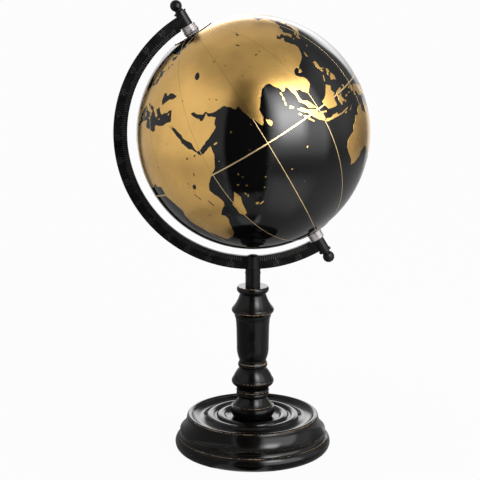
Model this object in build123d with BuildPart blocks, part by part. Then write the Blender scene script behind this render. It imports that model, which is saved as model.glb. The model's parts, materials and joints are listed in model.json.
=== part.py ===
from build123d import *
import os
from math import asin, cos, degrees, radians, sin, sqrt

# Desk globe on a turned stand, in millimetres, +Z up.
# The origin is the middle of the felt's underside, where the globe stands on a table.
# The globe's axle leans in the XZ plane, with its north end towards -X.

# Ball
GLOBE_RADIUS = 101.2
AXIS_TILT = 31.2
GORE_COUNT = 12
GORE_THICKNESS = 0.25
GORE_SEAM = 0.12
GLUE_GAP = 0.15
SHELL_WALL = 2.4
JOINING_BAND_WIDTH = 12.0
JOINING_BAND_WALL = 1.6

# Axle and the pieces at the poles
AXLE_RADIUS = 2.0
RUNNING_CLEARANCE = 0.05
CAP_RADIUS = 18.6
CAP_THICKNESS = 0.6
CAP_LIFT = 0.1
BUSHING_COLLAR_RADIUS = 6.9
BUSHING_COLLAR_HEIGHT = 2.0
BUSHING_RADIUS = 6.45
SPIGOT_RADIUS = 4.4
SPIGOT_DEPTH = 3.2
POLE_ROOM = 7.8
END_PLAY = 1.55
THRUST_GAP = 0.05

# Meridian arm
ARM_GAP = 6.5
ARM_WIDTH = 11.9
ARM_THICKNESS = 5.0
ARM_SETBACK = 2.3
ARM_DROP = 0.75
ARM_EDGE_CHAMFER = 0.5
END_BOSS_RADIUS = 4.8
END_BOSS_LENGTH = 11.8
SPOT_FACE_MARGIN = 0.75
STEM_BOSS_RADIUS = 5.85
STEM_BOSS_HEIGHT = 14.6
STEM_BOSS_FOOT_RADIUS = 6.65
STEM_BOSS_FOOT_HEIGHT = 2.85

# Finials
FINIAL_COLLAR_RADIUS = 5.6
FINIAL_COLLAR_THICKNESS = 1.6
FINIAL_FLARE_RADIUS = 4.6
FINIAL_NECK_RADIUS = 3.4
FINIAL_NECK_LENGTH = 1.9
FINIAL_BALL_RADIUS = 5.1
AXLE_THREAD_LENGTH = 5.0

# Stem
SLEEVE_RADIUS = 6.65
SLEEVE_LENGTH = 12.8
SLEEVE_LIP_RADIUS = 7.0
SLEEVE_LIP_HEIGHT = 1.2
BOLT_RADIUS = 3.0
BOLT_HOLE_CLEARANCE = 0.25
BOLT_TAIL = 1.2
BOLT_HEAD_RADIUS = 5.15
BOLT_HEAD_EDGE = 0.3
BOLT_HEAD_HEIGHT = 1.5
NUT_ACROSS_FLATS = 10.0
NUT_HEIGHT = 5.0
WASHER_RADIUS = 9.0
WASHER_THICKNESS = 1.6

# Felt and base
FELT_INSET = 4.0
FELT_THICKNESS = 1.0
BASE_RADIUS = 69.7
BASE_FOOT_INSET = 3.7
BULGE_HEIGHT = 12.1
BULGE_INSET = 3.4
BAND_HEIGHT = 5.8
BAND_INSET = 4.2
BAND_HOLLOW = 0.8
COVE_HEIGHT = 11.3
RIM_INSET = 10.5
RIM_HEIGHT = 2.5
RIM_WIDTH = 5.0
DISH_DEPTH = 4.2
RIDGE_WIDTH = 5.4
RIDGE_EDGE = 0.8
GROOVE_WIDTH = 4.0
GROOVE_DEPTH = 2.6
INNER_RIDGE_WIDTH = 5.6
HOLLOW_WIDTH = 5.1
HOLLOW_DEPTH = 3.2
SEAT_MARGIN = 4.3
SEAT_DEPTH = 3.1
RECESS_RADIUS = 13.0
RECESS_DEPTH = 9.0

# Column mouldings, from the seat up
TENON_RADIUS = 9.0
TENON_LENGTH = 8.0
TENON_CLEARANCE = 0.1
FOOT_SEAT_RADIUS = 16.2
FOOT_RADIUS = 19.9
FOOT_HEIGHT = 10.4
FOOT_LEDGE = 0.7
NECK_RADIUS = 12.3
NECK_HEIGHT = 8.8
RING_PAIR_RADIUS = 14.7
RING_PAIR_HEIGHT = 7.6
RING_PAIR_GROOVE = 0.5
KNUCKLE_RADIUS = 18.85
KNUCKLE_UNDERCUT_HEIGHT = 4.2
KNUCKLE_LIP_RADIUS = 17.6
KNUCKLE_ROUND_HEIGHT = 5.8
KNUCKLE_CONE_HEIGHT = 9.0
COLLAR_GROOVE_RADIUS = 12.1
COLLAR_GROOVE_HEIGHT = 1.0
COLLAR_RADIUS = 13.15
COLLAR_HEIGHT = 4.4
COLLAR_EDGE = 0.4
SHAFT_ROOT_HEIGHT = 3.6
SHAFT_SWELL_HEIGHT = 10.6
SHAFT_LENGTH = 17.0
SHAFT_LOW_RADIUS = 14.3
SHAFT_TOP_RADIUS = 14.6
SHAFT_FLARE_HEIGHT = 9.2
SHAFT_FLARE_RADIUS = 15.35
VASE_LIP_RADIUS = 16.5
VASE_LIP_HEIGHT = 4.1
VASE_UNDER_HEIGHT = 1.8
VASE_RADIUS = 18.82
VASE_EDGE = 0.9
VASE_ROUND_HEIGHT = 4.2
VASE_OGEE_HEIGHT = 11.9
TOP_NECK_RADIUS = 11.7
TOP_NECK_HEIGHT = 1.0
TOP_BEAD_RADIUS = 14.3
TOP_BEAD_HEIGHT = 6.4
TOP_BEAD_EDGE = 1.0
TOP_FACE_RADIUS = 13.2

# Heights up the base
base_bottom_z = FELT_THICKNESS
bulge_top_z = base_bottom_z + BULGE_HEIGHT
band_top_z = bulge_top_z + BAND_HEIGHT
rim_root_z = band_top_z + COVE_HEIGHT
rim_top_z = rim_root_z + RIM_HEIGHT
seat_z = rim_top_z - SEAT_DEPTH
recess_top_z = base_bottom_z + RECESS_DEPTH
socket_floor_z = seat_z - TENON_LENGTH - TENON_CLEARANCE

# Radii across the base: the ridges lie around the seat, and the dish fills the rest
foot_edge_radius = BASE_RADIUS - BASE_FOOT_INSET
felt_radius = foot_edge_radius - FELT_INSET
rim_radius = BASE_RADIUS - RIM_INSET
rim_inner_radius = rim_radius - RIM_WIDTH
seat_radius = FOOT_SEAT_RADIUS + SEAT_MARGIN
inner_ridge_radius = seat_radius + HOLLOW_WIDTH
groove_inner_radius = inner_ridge_radius + INNER_RIDGE_WIDTH
groove_outer_radius = groove_inner_radius + GROOVE_WIDTH
ridge_radius = groove_outer_radius + RIDGE_WIDTH

# Heights up the column and the stem
foot_top_z = seat_z + FOOT_HEIGHT
neck_top_z = foot_top_z + NECK_HEIGHT
ring_pair_top_z = neck_top_z + RING_PAIR_HEIGHT
knuckle_lip_z = ring_pair_top_z + KNUCKLE_UNDERCUT_HEIGHT
knuckle_top_z = knuckle_lip_z + KNUCKLE_ROUND_HEIGHT
cone_top_z = knuckle_top_z + KNUCKLE_CONE_HEIGHT
collar_bottom_z = cone_top_z + COLLAR_GROOVE_HEIGHT
collar_top_z = collar_bottom_z + COLLAR_HEIGHT
shaft_root_z = collar_top_z + SHAFT_ROOT_HEIGHT
shaft_low_z = shaft_root_z + SHAFT_SWELL_HEIGHT
shaft_top_z = shaft_low_z + SHAFT_LENGTH
flare_top_z = shaft_top_z + SHAFT_FLARE_HEIGHT
vase_lip_z = flare_top_z + VASE_LIP_HEIGHT
vase_low_z = vase_lip_z + VASE_UNDER_HEIGHT
vase_high_z = vase_low_z + VASE_ROUND_HEIGHT
vase_top_z = vase_high_z + VASE_OGEE_HEIGHT
bead_bottom_z = vase_top_z + TOP_NECK_HEIGHT
column_top_z = bead_bottom_z + TOP_BEAD_HEIGHT
stem_boss_z = column_top_z + SLEEVE_LENGTH
bolt_seat_z = stem_boss_z + STEM_BOSS_HEIGHT

# Fits around the bolt and the axle
bolt_hole_radius = BOLT_RADIUS + BOLT_HOLE_CLEARANCE
axle_hole_radius = AXLE_RADIUS + RUNNING_CLEARANCE
spigot_hole_radius = SPIGOT_RADIUS + RUNNING_CLEARANCE
spot_face_radius = BUSHING_COLLAR_RADIUS + SPOT_FACE_MARGIN

# The axle's direction and the frames that the ball and the arm are drawn in
axle_dir = Vector(-sin(radians(AXIS_TILT)), 0, cos(radians(AXIS_TILT)))
belly_dir = Vector(-cos(radians(AXIS_TILT)), 0, -sin(radians(AXIS_TILT)))
arm_inner_radius = GLOBE_RADIUS + ARM_GAP
arm_outer_radius = arm_inner_radius + ARM_WIDTH
arc_shift = belly_dir * ARM_SETBACK - axle_dir * ARM_DROP
arc_rise = sqrt(arm_outer_radius**2 - arc_shift.X**2)
arc_centre_z = stem_boss_z + STEM_BOSS_FOOT_HEIGHT + arc_rise
globe_centre = Vector(0, 0, arc_centre_z - arc_shift.Z)
arm_centre = globe_centre - axle_dir * ARM_DROP
globe_axis = Axis(globe_centre, axle_dir)

# Distances from the ball's centre, and along the axle from the arm's
cap_inner_radius = GLOBE_RADIUS + CAP_LIFT
cap_outer_radius = cap_inner_radius + CAP_THICKNESS
cap_angle = degrees(asin(CAP_RADIUS / cap_outer_radius))
boss_face = GLOBE_RADIUS + POLE_ROOM
boss_end = boss_face + END_BOSS_LENGTH
axle_end = boss_end + AXLE_THREAD_LENGTH
shell_radius = GLOBE_RADIUS - GORE_THICKNESS - GLUE_GAP
shell_inner_radius = shell_radius - SHELL_WALL
band_radius = shell_inner_radius - GLUE_GAP

# Each pole's name and the way that it lies along the axle
POLES = (("upper", 1), ("lower", -1))

# The lower bushing rests on its boss, and the play is left at the upper one
bushing_ends = {
    "upper": boss_face - ARM_DROP - END_PLAY,
    "lower": boss_face + ARM_DROP - THRUST_GAP,
}


def meridian_plane(way, turn=0.0):
    """Section through the ball: X away from the axle, Y along it towards one pole."""
    outward = (belly_dir * -1).rotate(Axis((0, 0, 0), axle_dir), turn)
    return Plane(globe_centre, x_dir=outward, z_dir=outward.cross(axle_dir) * way)


def pole_plane(centre, way, distance):
    """Plane square to the axle, a distance from the centre, facing away from it."""
    return Plane(centre + axle_dir * (way * distance), x_dir=belly_dir, z_dir=axle_dir * way)


def wall_outline(inner, outer, hole, end_angle):
    """Curved wall between two radii, from the hole at the pole to an angle from the axle."""
    end = Vector(sin(radians(end_angle)), cos(radians(end_angle)))
    middle = Vector(sin(radians(end_angle / 2)), cos(radians(end_angle / 2)))
    hole_top = (hole, sqrt(outer**2 - hole**2))
    hole_bottom = (hole, sqrt(inner**2 - hole**2))
    ThreePointArc(end * outer, middle * outer, hole_top)
    Line(hole_top, hole_bottom)
    ThreePointArc(hole_bottom, middle * inner, end * inner)
    Line(end * inner, end * outer)


def leaning_arc(start, end, across, up):
    """Arc between two points, through a point at these shares of the way across and up."""
    middle_x = start.X + across * (end[0] - start.X)
    middle_y = start.Y + up * (end[1] - start.Y)
    return ThreePointArc(start, (middle_x, middle_y), end)


def bulging_arc(start, end, radius, up):
    """Arc between two points, reaching a radius at this share of the way up."""
    return ThreePointArc(start, (radius, start.Y + up * (end[1] - start.Y)), end)


def cresting_arc(start, end, height, across):
    """Arc between two points, reaching a height at this share of the way across."""
    return ThreePointArc(start, (start.X + across * (end[0] - start.X), height), end)


os.makedirs("parts", exist_ok=True)

# Felt pad glued under the base, over the nut
with BuildPart() as felt_pad:
    with BuildSketch(Plane.XY):
        Circle(felt_radius)
    extrude(amount=FELT_THICKNESS)
felt_pad.part.label = "felt_pad"
export_step(felt_pad.part, "parts/felt_pad.step")

# Base: bulge, hollow band, cove and rolled rim, with a dish and two ridges on top
with BuildPart() as base:
    with BuildSketch(Plane.XZ):
        with BuildLine():
            underside = Polyline(
                (bolt_hole_radius, recess_top_z),
                (RECESS_RADIUS, recess_top_z),
                (RECESS_RADIUS, base_bottom_z),
                (foot_edge_radius, base_bottom_z),
            )
            bulge_end = (BASE_RADIUS - BULGE_INSET, bulge_top_z)
            bulge = bulging_arc(underside @ 1, bulge_end, BASE_RADIUS, 0.4)
            band_end = (BASE_RADIUS - BAND_INSET, band_top_z)
            band = bulging_arc(bulge @ 1, band_end, band_end[0] - BAND_HOLLOW, 0.5)
            cove = leaning_arc(band @ 1, (rim_radius, rim_root_z), 0.7, 0.45)
            rim_end = (rim_inner_radius, rim_top_z - RIM_HEIGHT / 2)
            rim = cresting_arc(cove @ 1, rim_end, rim_top_z, 0.4)
            dish_end = (ridge_radius, rim_top_z - RIDGE_EDGE)
            dish = cresting_arc(rim @ 1, dish_end, rim_top_z - DISH_DEPTH, 0.5)
            ridge_end = (groove_outer_radius, rim_top_z - RIDGE_EDGE)
            ridge = cresting_arc(dish @ 1, ridge_end, rim_top_z, 0.5)
            groove_end = (groove_inner_radius, rim_top_z - RIDGE_EDGE)
            groove = cresting_arc(ridge @ 1, groove_end, rim_top_z - GROOVE_DEPTH, 0.5)
            inner_ridge_end = (inner_ridge_radius, rim_top_z - RIDGE_EDGE)
            inner_ridge = cresting_arc(groove @ 1, inner_ridge_end, rim_top_z, 0.5)
            hollow = cresting_arc(inner_ridge @ 1, (seat_radius, seat_z), rim_top_z - HOLLOW_DEPTH, 0.65)
            Polyline(
                hollow @ 1,
                (TENON_RADIUS + TENON_CLEARANCE, seat_z),
                (TENON_RADIUS + TENON_CLEARANCE, socket_floor_z),
                (bolt_hole_radius, socket_floor_z),
                underside @ 0,
            )
        make_face()
    revolve(axis=Axis.Z)
base.part.label = "base"
export_step(base.part, "parts/base.step")

# Column: one turning from the tenon to the top bead, bored for the bolt
with BuildPart() as column:
    with BuildSketch(Plane.XZ):
        with BuildLine():
            tenon = Polyline(
                (bolt_hole_radius, seat_z - TENON_LENGTH),
                (TENON_RADIUS, seat_z - TENON_LENGTH),
                (TENON_RADIUS, seat_z),
                (FOOT_SEAT_RADIUS, seat_z),
            )
            foot_end = (FOOT_RADIUS - FOOT_LEDGE, foot_top_z)
            foot = bulging_arc(tenon @ 1, foot_end, FOOT_RADIUS, 0.6)
            ledge = Line(foot @ 1, (FOOT_RADIUS - 2.5 * FOOT_LEDGE, foot_top_z + FOOT_LEDGE / 2))
            neck = leaning_arc(ledge @ 1, (NECK_RADIUS, neck_top_z), 0.57, 0.46)
            ring_root = RING_PAIR_RADIUS - RING_PAIR_GROOVE
            ring_middle_z = neck_top_z + 0.55 * RING_PAIR_HEIGHT
            ring_under = Line(neck @ 1, (ring_root, neck_top_z + 0.1 * RING_PAIR_HEIGHT))
            lower_ring = bulging_arc(ring_under @ 1, (ring_root, ring_middle_z), RING_PAIR_RADIUS, 0.5)
            upper_ring = bulging_arc(lower_ring @ 1, (ring_root, ring_pair_top_z), RING_PAIR_RADIUS, 0.5)
            undercut = leaning_arc(upper_ring @ 1, (KNUCKLE_LIP_RADIUS, knuckle_lip_z), 0.35, 0.6)
            knuckle_end = (KNUCKLE_LIP_RADIUS, knuckle_top_z)
            knuckle = bulging_arc(undercut @ 1, knuckle_end, KNUCKLE_RADIUS, 0.6)
            cone = leaning_arc(knuckle @ 1, (COLLAR_GROOVE_RADIUS, cone_top_z), 0.42, 0.52)
            lower_groove = Line(cone @ 1, (COLLAR_GROOVE_RADIUS, collar_bottom_z))
            collar_edge = Line(
                lower_groove @ 1,
                (COLLAR_RADIUS - COLLAR_EDGE, collar_bottom_z + COLLAR_EDGE),
            )
            collar_end = (COLLAR_GROOVE_RADIUS + COLLAR_EDGE, collar_top_z)
            collar = bulging_arc(collar_edge @ 1, collar_end, COLLAR_RADIUS, 0.6)
            root_end = (COLLAR_GROOVE_RADIUS + COLLAR_EDGE, shaft_root_z)
            shaft_root = bulging_arc(collar @ 1, root_end, COLLAR_GROOVE_RADIUS, 0.45)
            shaft_swell = leaning_arc(shaft_root @ 1, (SHAFT_LOW_RADIUS, shaft_low_z), 0.7, 0.4)
            shaft = Line(shaft_swell @ 1, (SHAFT_TOP_RADIUS, shaft_top_z))
            flare = leaning_arc(shaft @ 1, (SHAFT_FLARE_RADIUS, flare_top_z), 0.4, 0.55)
            lip = leaning_arc(flare @ 1, (VASE_LIP_RADIUS, vase_lip_z), 0.55, 0.4)
            under_vase = Line(lip @ 1, (VASE_RADIUS - VASE_EDGE, vase_low_z))
            vase = bulging_arc(under_vase @ 1, (VASE_RADIUS - VASE_EDGE, vase_high_z), VASE_RADIUS, 0.5)
            ogee = leaning_arc(vase @ 1, (TOP_NECK_RADIUS, vase_top_z), 0.56, 0.43)
            top_neck = Line(ogee @ 1, (TOP_NECK_RADIUS, bead_bottom_z))
            bead_under = Line(
                top_neck @ 1,
                (TOP_NECK_RADIUS + TOP_BEAD_EDGE, bead_bottom_z + TOP_BEAD_EDGE),
            )
            bead = bulging_arc(bead_under @ 1, (TOP_FACE_RADIUS, column_top_z), TOP_BEAD_RADIUS, 0.55)
            Polyline(bead @ 1, (bolt_hole_radius, column_top_z), tenon @ 0)
        make_face()
    revolve(axis=Axis.Z)
column.part.label = "column"
export_step(column.part, "parts/column.step")

# Metal sleeve between the column and the arm, with a slightly proud lip
with BuildPart() as stem_sleeve:
    with BuildSketch(Plane.XY.offset(column_top_z)):
        Circle(SLEEVE_RADIUS)
    extrude(amount=SLEEVE_LENGTH)
    with BuildSketch(Plane.XY.offset(stem_boss_z - SLEEVE_LIP_HEIGHT)):
        Circle(SLEEVE_LIP_RADIUS)
    extrude(amount=SLEEVE_LIP_HEIGHT)
    with BuildSketch(Plane.XY.offset(column_top_z)):
        Circle(bolt_hole_radius)
    extrude(amount=SLEEVE_LENGTH, mode=Mode.SUBTRACT)
stem_sleeve.part.label = "stem_sleeve"
export_step(stem_sleeve.part, "parts/stem_sleeve.step")

# Long bolt with a domed head, from the arm down to the nut in the base
with BuildPart() as stem_bolt:
    with BuildSketch(Plane.XZ):
        with BuildLine():
            bolt_end_z = recess_top_z - WASHER_THICKNESS - NUT_HEIGHT - BOLT_TAIL
            shank = Polyline(
                (0, bolt_end_z),
                (BOLT_RADIUS, bolt_end_z),
                (BOLT_RADIUS, bolt_seat_z),
                (BOLT_HEAD_RADIUS, bolt_seat_z),
                (BOLT_HEAD_RADIUS, bolt_seat_z + BOLT_HEAD_EDGE),
            )
            dome_rise = BOLT_HEAD_HEIGHT - BOLT_HEAD_EDGE
            dome_radius = (BOLT_HEAD_RADIUS**2 + dome_rise**2) / (2 * dome_rise)
            dome_sag = dome_radius - sqrt(dome_radius**2 - (BOLT_HEAD_RADIUS / 2) ** 2)
            dome = ThreePointArc(
                shank @ 1,
                (BOLT_HEAD_RADIUS / 2, bolt_seat_z + BOLT_HEAD_HEIGHT - dome_sag),
                (0, bolt_seat_z + BOLT_HEAD_HEIGHT),
            )
            Line(dome @ 1, shank @ 0)
        make_face()
    revolve(axis=Axis.Z)
stem_bolt.part.label = "stem_bolt"
export_step(stem_bolt.part, "parts/stem_bolt.step")

# Washer and nut in the recess under the base
with BuildPart() as stem_washer:
    with BuildSketch(Plane.XY.offset(recess_top_z - WASHER_THICKNESS)):
        Circle(WASHER_RADIUS)
        Circle(bolt_hole_radius, mode=Mode.SUBTRACT)
    extrude(amount=WASHER_THICKNESS)
stem_washer.part.label = "stem_washer"
export_step(stem_washer.part, "parts/stem_washer.step")

with BuildPart() as stem_nut:
    with BuildSketch(Plane.XY.offset(recess_top_z - WASHER_THICKNESS - NUT_HEIGHT)):
        RegularPolygon(NUT_ACROSS_FLATS / 2, 6, major_radius=False)
        Circle(BOLT_RADIUS + RUNNING_CLEARANCE, mode=Mode.SUBTRACT)
    extrude(amount=NUT_HEIGHT)
stem_nut.part.label = "stem_nut"
export_step(stem_nut.part, "parts/stem_nut.step")

# Meridian arm: half ring, a boss at each end for the axle and one at the bottom for the bolt
with BuildPart() as meridian_arm:
    with BuildSketch(Plane(arm_centre, x_dir=belly_dir, z_dir=(0, 1, 0))):
        with Locations((ARM_SETBACK, 0)):
            Circle(arm_outer_radius)
            Circle(arm_inner_radius, mode=Mode.SUBTRACT)
        with Locations((0, 0)):
            Rectangle(
                2 * arm_outer_radius,
                3 * arm_outer_radius,
                align=(Align.MAX, Align.CENTER),
                mode=Mode.SUBTRACT,
            )
    extrude(amount=ARM_THICKNESS / 2, both=True)
    chamfer(meridian_arm.edges().filter_by(GeomType.CIRCLE), ARM_EDGE_CHAMFER)
    for pole, way in POLES:
        with BuildSketch(pole_plane(arm_centre, way, boss_face)):
            Circle(END_BOSS_RADIUS)
        extrude(amount=END_BOSS_LENGTH)
        with BuildSketch(pole_plane(arm_centre, way, boss_face)):
            Circle(spot_face_radius)
        extrude(amount=-POLE_ROOM, mode=Mode.SUBTRACT)
        with BuildSketch(pole_plane(arm_centre, way, boss_face)):
            Circle(axle_hole_radius)
        extrude(amount=END_BOSS_LENGTH, mode=Mode.SUBTRACT)
    with BuildSketch(Plane.XY.offset(stem_boss_z)):
        Circle(STEM_BOSS_RADIUS)
    extrude(amount=STEM_BOSS_HEIGHT)
    with BuildSketch(Plane.XY.offset(stem_boss_z)):
        Circle(STEM_BOSS_FOOT_RADIUS)
    extrude(amount=STEM_BOSS_FOOT_HEIGHT)
    with BuildSketch(Plane.XY.offset(bolt_seat_z)):
        Circle(BOLT_HEAD_RADIUS + BOLT_HOLE_CLEARANCE)
    extrude(amount=ARM_WIDTH, mode=Mode.SUBTRACT)
    with BuildSketch(Plane.XY.offset(stem_boss_z)):
        Circle(bolt_hole_radius)
    extrude(amount=STEM_BOSS_HEIGHT, mode=Mode.SUBTRACT)
meridian_arm.part.label = "meridian_arm"
export_step(meridian_arm.part, "parts/meridian_arm.step")

# Fixed axle, from finial to finial through the ball
with BuildPart() as axle_rod:
    with BuildSketch(pole_plane(arm_centre, 1, 0)):
        Circle(AXLE_RADIUS)
    extrude(amount=axle_end, both=True)
axle_rod.part.label = "axle_rod"
export_step(axle_rod.part, "parts/axle_rod.step")

# Ball finials screwed on the axle's ends
for pole, way in POLES:
    section = meridian_plane(way)
    section.origin = arm_centre
    collar_end = boss_end + FINIAL_COLLAR_THICKNESS
    neck_end = collar_end + FINIAL_NECK_LENGTH
    ball_centre = neck_end + sqrt(FINIAL_BALL_RADIUS**2 - FINIAL_NECK_RADIUS**2)
    with BuildPart() as finial:
        with BuildSketch(section):
            with BuildLine():
                collar_face = Polyline(
                    (axle_hole_radius, boss_end),
                    (FINIAL_COLLAR_RADIUS, boss_end),
                    (FINIAL_COLLAR_RADIUS, collar_end),
                    (FINIAL_FLARE_RADIUS, collar_end),
                )
                finial_neck = leaning_arc(collar_face @ 1, (FINIAL_NECK_RADIUS, neck_end), 0.83, 0.45)
                ball = ThreePointArc(
                    finial_neck @ 1,
                    (FINIAL_BALL_RADIUS, ball_centre),
                    (0, ball_centre + FINIAL_BALL_RADIUS),
                )
                Polyline(
                    ball @ 1,
                    (0, axle_end + RUNNING_CLEARANCE),
                    (axle_hole_radius, axle_end + RUNNING_CLEARANCE),
                    collar_face @ 0,
                )
            make_face()
        revolve(axis=globe_axis)
    finial.part.label = pole + "_finial"
    export_step(finial.part, "parts/" + pole + "_finial.step")

# Two half shells, glued at the equator over an inner band
for half, way in (("north_shell", 1), ("south_shell", -1)):
    with BuildPart() as shell:
        with BuildSketch(meridian_plane(way)):
            with BuildLine():
                wall_outline(shell_inner_radius, shell_radius, spigot_hole_radius, 90)
            make_face()
        revolve(axis=globe_axis)
    shell.part.label = half
    export_step(shell.part, "parts/" + half + ".step")

with BuildPart() as joining_band:
    with BuildSketch(meridian_plane(1)):
        with BuildLine():
            half_width = JOINING_BAND_WIDTH / 2
            band_inner_radius = band_radius - JOINING_BAND_WALL
            outer_reach = sqrt(band_radius**2 - half_width**2)
            inner_reach = sqrt(band_inner_radius**2 - half_width**2)
            band_outer = ThreePointArc(
                (outer_reach, -half_width), (band_radius, 0), (outer_reach, half_width)
            )
            band_inner = ThreePointArc(
                (inner_reach, half_width), (band_inner_radius, 0), (inner_reach, -half_width)
            )
            Line(band_outer @ 1, band_inner @ 0)
            Line(band_inner @ 1, band_outer @ 0)
        make_face()
    revolve(axis=globe_axis)
joining_band.part.label = "joining_band"
export_step(joining_band.part, "parts/joining_band.step")

# Printed gores pasted over the shells, meeting in thin seams along the meridians
gore_turn = 360 / GORE_COUNT
seam_turn = GORE_SEAM / radians(GLOBE_RADIUS)
gore_inner_radius = GLOBE_RADIUS - GORE_THICKNESS
gore_hole_low = sqrt(gore_inner_radius**2 - spigot_hole_radius**2)
gore_hole_high = sqrt(GLOBE_RADIUS**2 - spigot_hole_radius**2)
with BuildPart() as map_gores:
    for gore in range(GORE_COUNT):
        with BuildSketch(meridian_plane(1, gore * gore_turn)):
            with BuildLine():
                outside = ThreePointArc(
                    (spigot_hole_radius, -gore_hole_high),
                    (GLOBE_RADIUS, 0),
                    (spigot_hole_radius, gore_hole_high),
                )
                inside = ThreePointArc(
                    (spigot_hole_radius, gore_hole_low),
                    (gore_inner_radius, 0),
                    (spigot_hole_radius, -gore_hole_low),
                )
                Line(outside @ 1, inside @ 0)
                Line(inside @ 1, outside @ 0)
            make_face()
        revolve(axis=globe_axis, revolution_arc=gore_turn - seam_turn)
map_gores.part.label = "map_gores"
export_step(map_gores.part, "parts/map_gores.step")

# Clear caps and clear bushings at the poles, which turn with the ball
spigot_height = CAP_THICKNESS + CAP_LIFT + SPIGOT_DEPTH
for pole, way in POLES:
    with BuildPart() as cap:
        with BuildSketch(meridian_plane(way)):
            with BuildLine():
                wall_outline(cap_inner_radius, cap_outer_radius, spigot_hole_radius, cap_angle)
            make_face()
        revolve(axis=globe_axis)
    cap.part.label = pole + "_cap"
    export_step(cap.part, "parts/" + pole + "_cap.step")

    bushing_height = bushing_ends[pole] - cap_outer_radius
    with BuildPart() as bushing:
        with BuildSketch(pole_plane(globe_centre, way, cap_outer_radius)):
            Circle(BUSHING_RADIUS)
        extrude(amount=bushing_height)
        with BuildSketch(pole_plane(globe_centre, way, cap_outer_radius)):
            Circle(BUSHING_COLLAR_RADIUS)
        extrude(amount=BUSHING_COLLAR_HEIGHT)
        with BuildSketch(pole_plane(globe_centre, way, cap_outer_radius)):
            Circle(SPIGOT_RADIUS)
        extrude(amount=-spigot_height)
        with BuildSketch(pole_plane(globe_centre, way, bushing_ends[pole])):
            Circle(axle_hole_radius)
        extrude(amount=-(bushing_height + spigot_height), mode=Mode.SUBTRACT)
    bushing.part.label = pole + "_bushing"
    export_step(bushing.part, "parts/" + pole + "_bushing.step")
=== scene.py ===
"""Desk globe on a turned stand: the gold and black map, the degree scale, the finishes and the studio."""

import json
import math

import bmesh
import bpy
from bpy.props import FloatProperty, FloatVectorProperty, IntProperty, PointerProperty
from bpy.types import NodeSocket, Operator, Panel, PropertyGroup
from mathutils import Matrix, Vector, noise


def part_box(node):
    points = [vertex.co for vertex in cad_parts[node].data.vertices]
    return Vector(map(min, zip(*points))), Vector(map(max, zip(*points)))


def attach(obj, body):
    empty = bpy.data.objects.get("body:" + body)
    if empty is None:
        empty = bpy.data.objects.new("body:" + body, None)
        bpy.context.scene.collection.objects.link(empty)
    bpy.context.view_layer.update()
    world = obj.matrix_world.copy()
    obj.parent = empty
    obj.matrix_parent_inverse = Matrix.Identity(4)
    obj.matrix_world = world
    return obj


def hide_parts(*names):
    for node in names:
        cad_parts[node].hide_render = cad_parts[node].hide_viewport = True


bl_info = {
    "name": "Desk Globe Dresser",
    "version": (1, 0, 0),
    "blender": (4, 5, 0),
    "location": "View3D > Sidebar > Desk Globe",
    "description": "Lays the map on the ball, the scale on the arm and the finishes on the stand",
    "category": "Object",
}

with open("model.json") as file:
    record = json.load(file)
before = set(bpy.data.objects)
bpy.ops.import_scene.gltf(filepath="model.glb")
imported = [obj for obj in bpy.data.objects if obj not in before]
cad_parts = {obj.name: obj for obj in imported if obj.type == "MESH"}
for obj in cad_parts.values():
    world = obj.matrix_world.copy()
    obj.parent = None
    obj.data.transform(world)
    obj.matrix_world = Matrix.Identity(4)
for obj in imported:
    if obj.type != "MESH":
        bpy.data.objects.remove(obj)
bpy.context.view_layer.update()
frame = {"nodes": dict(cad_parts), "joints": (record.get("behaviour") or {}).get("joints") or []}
SPIN = frame["joints"][0]
BALL_CENTRE = Vector(SPIN["pos_m"])
NORTH = Vector(SPIN["axis"]).normalized()
FRONT = Vector((0, -1, 0))
EAST = NORTH.cross(FRONT)
BALL_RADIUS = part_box("map_gores")[1].y

FULL_TURN = 2 * math.pi

# The ball: depth of the wall round a pole hole, how far the edges of foils and lines reach into the sea's surface,
# and the latitude where the meridian lines end.
LIP_DEPTH = 0.002
FOIL_FOOT = 0.00004
MERIDIAN_REACH = math.radians(84)
# Half widths of the dark core and of the soft edge of a joint between gores.
SEAM_CORE, SEAM_EDGE = 0.0001, 0.00032
# Waves of a wandering shore as (length in degrees, share of the reach, start of the pattern), and the cosine of the
# latitude past which the shore strays no wider.
SHORE_WAVES = ((4.0, 1.0, (0, 0, 0)), (1.7, 0.5, (31, 7, 3)), (0.7, 0.34, (5, 43, 9)))
LEAST_COSINE = 0.3
# Edges of a turned wall that bend by more than this, in radians, are rounded.
CORNER_BEND = 1

# The scale, in degrees along the arm: its ends, and the stem's place and the room left round it.
SCALE_END = 85
STEM_DEGREE = -58.8
STEM_CLEARANCE = 4

# Colours that only shade a finish.
WHITE = (1, 1, 1, 1)
GREY_DUST = (0.12, 0.11, 0.1, 1)
WOOD_DUST = (0.16, 0.14, 0.11, 1)
BARE_PIT = (0.06, 0.035, 0.012, 1)
RIM_LINE = (0.06, 0.042, 0.03, 1)
# How far inside a clear rim its dark line starts and is full.
LINE_START, LINE_FULL = 0.0008, 0.0003
# A rim radius outside the globe, for plastic without a dark rim.
NO_RIM = 1.0

# Rubbed edges of the turned wood as (height, half width, radius inside which the paint is whole).
BASE_BANDS = ((0.0026, 0.0009, 0.06), (0.0128, 0.0007, 0.06), (0.0186, 0.0006, 0.06), (0.0321, 0.0008, 0.0575))
COLUMN_BANDS = (
    (0.0412, 0.0008, 0.012), (0.0545, 0.0012, 0.01), (0.0645, 0.0009, 0.01), (0.0803, 0.0012, 0.01),
    (0.1283, 0.0018, 0.01), (0.1504, 0.0006, 0.0125),
)

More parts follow.
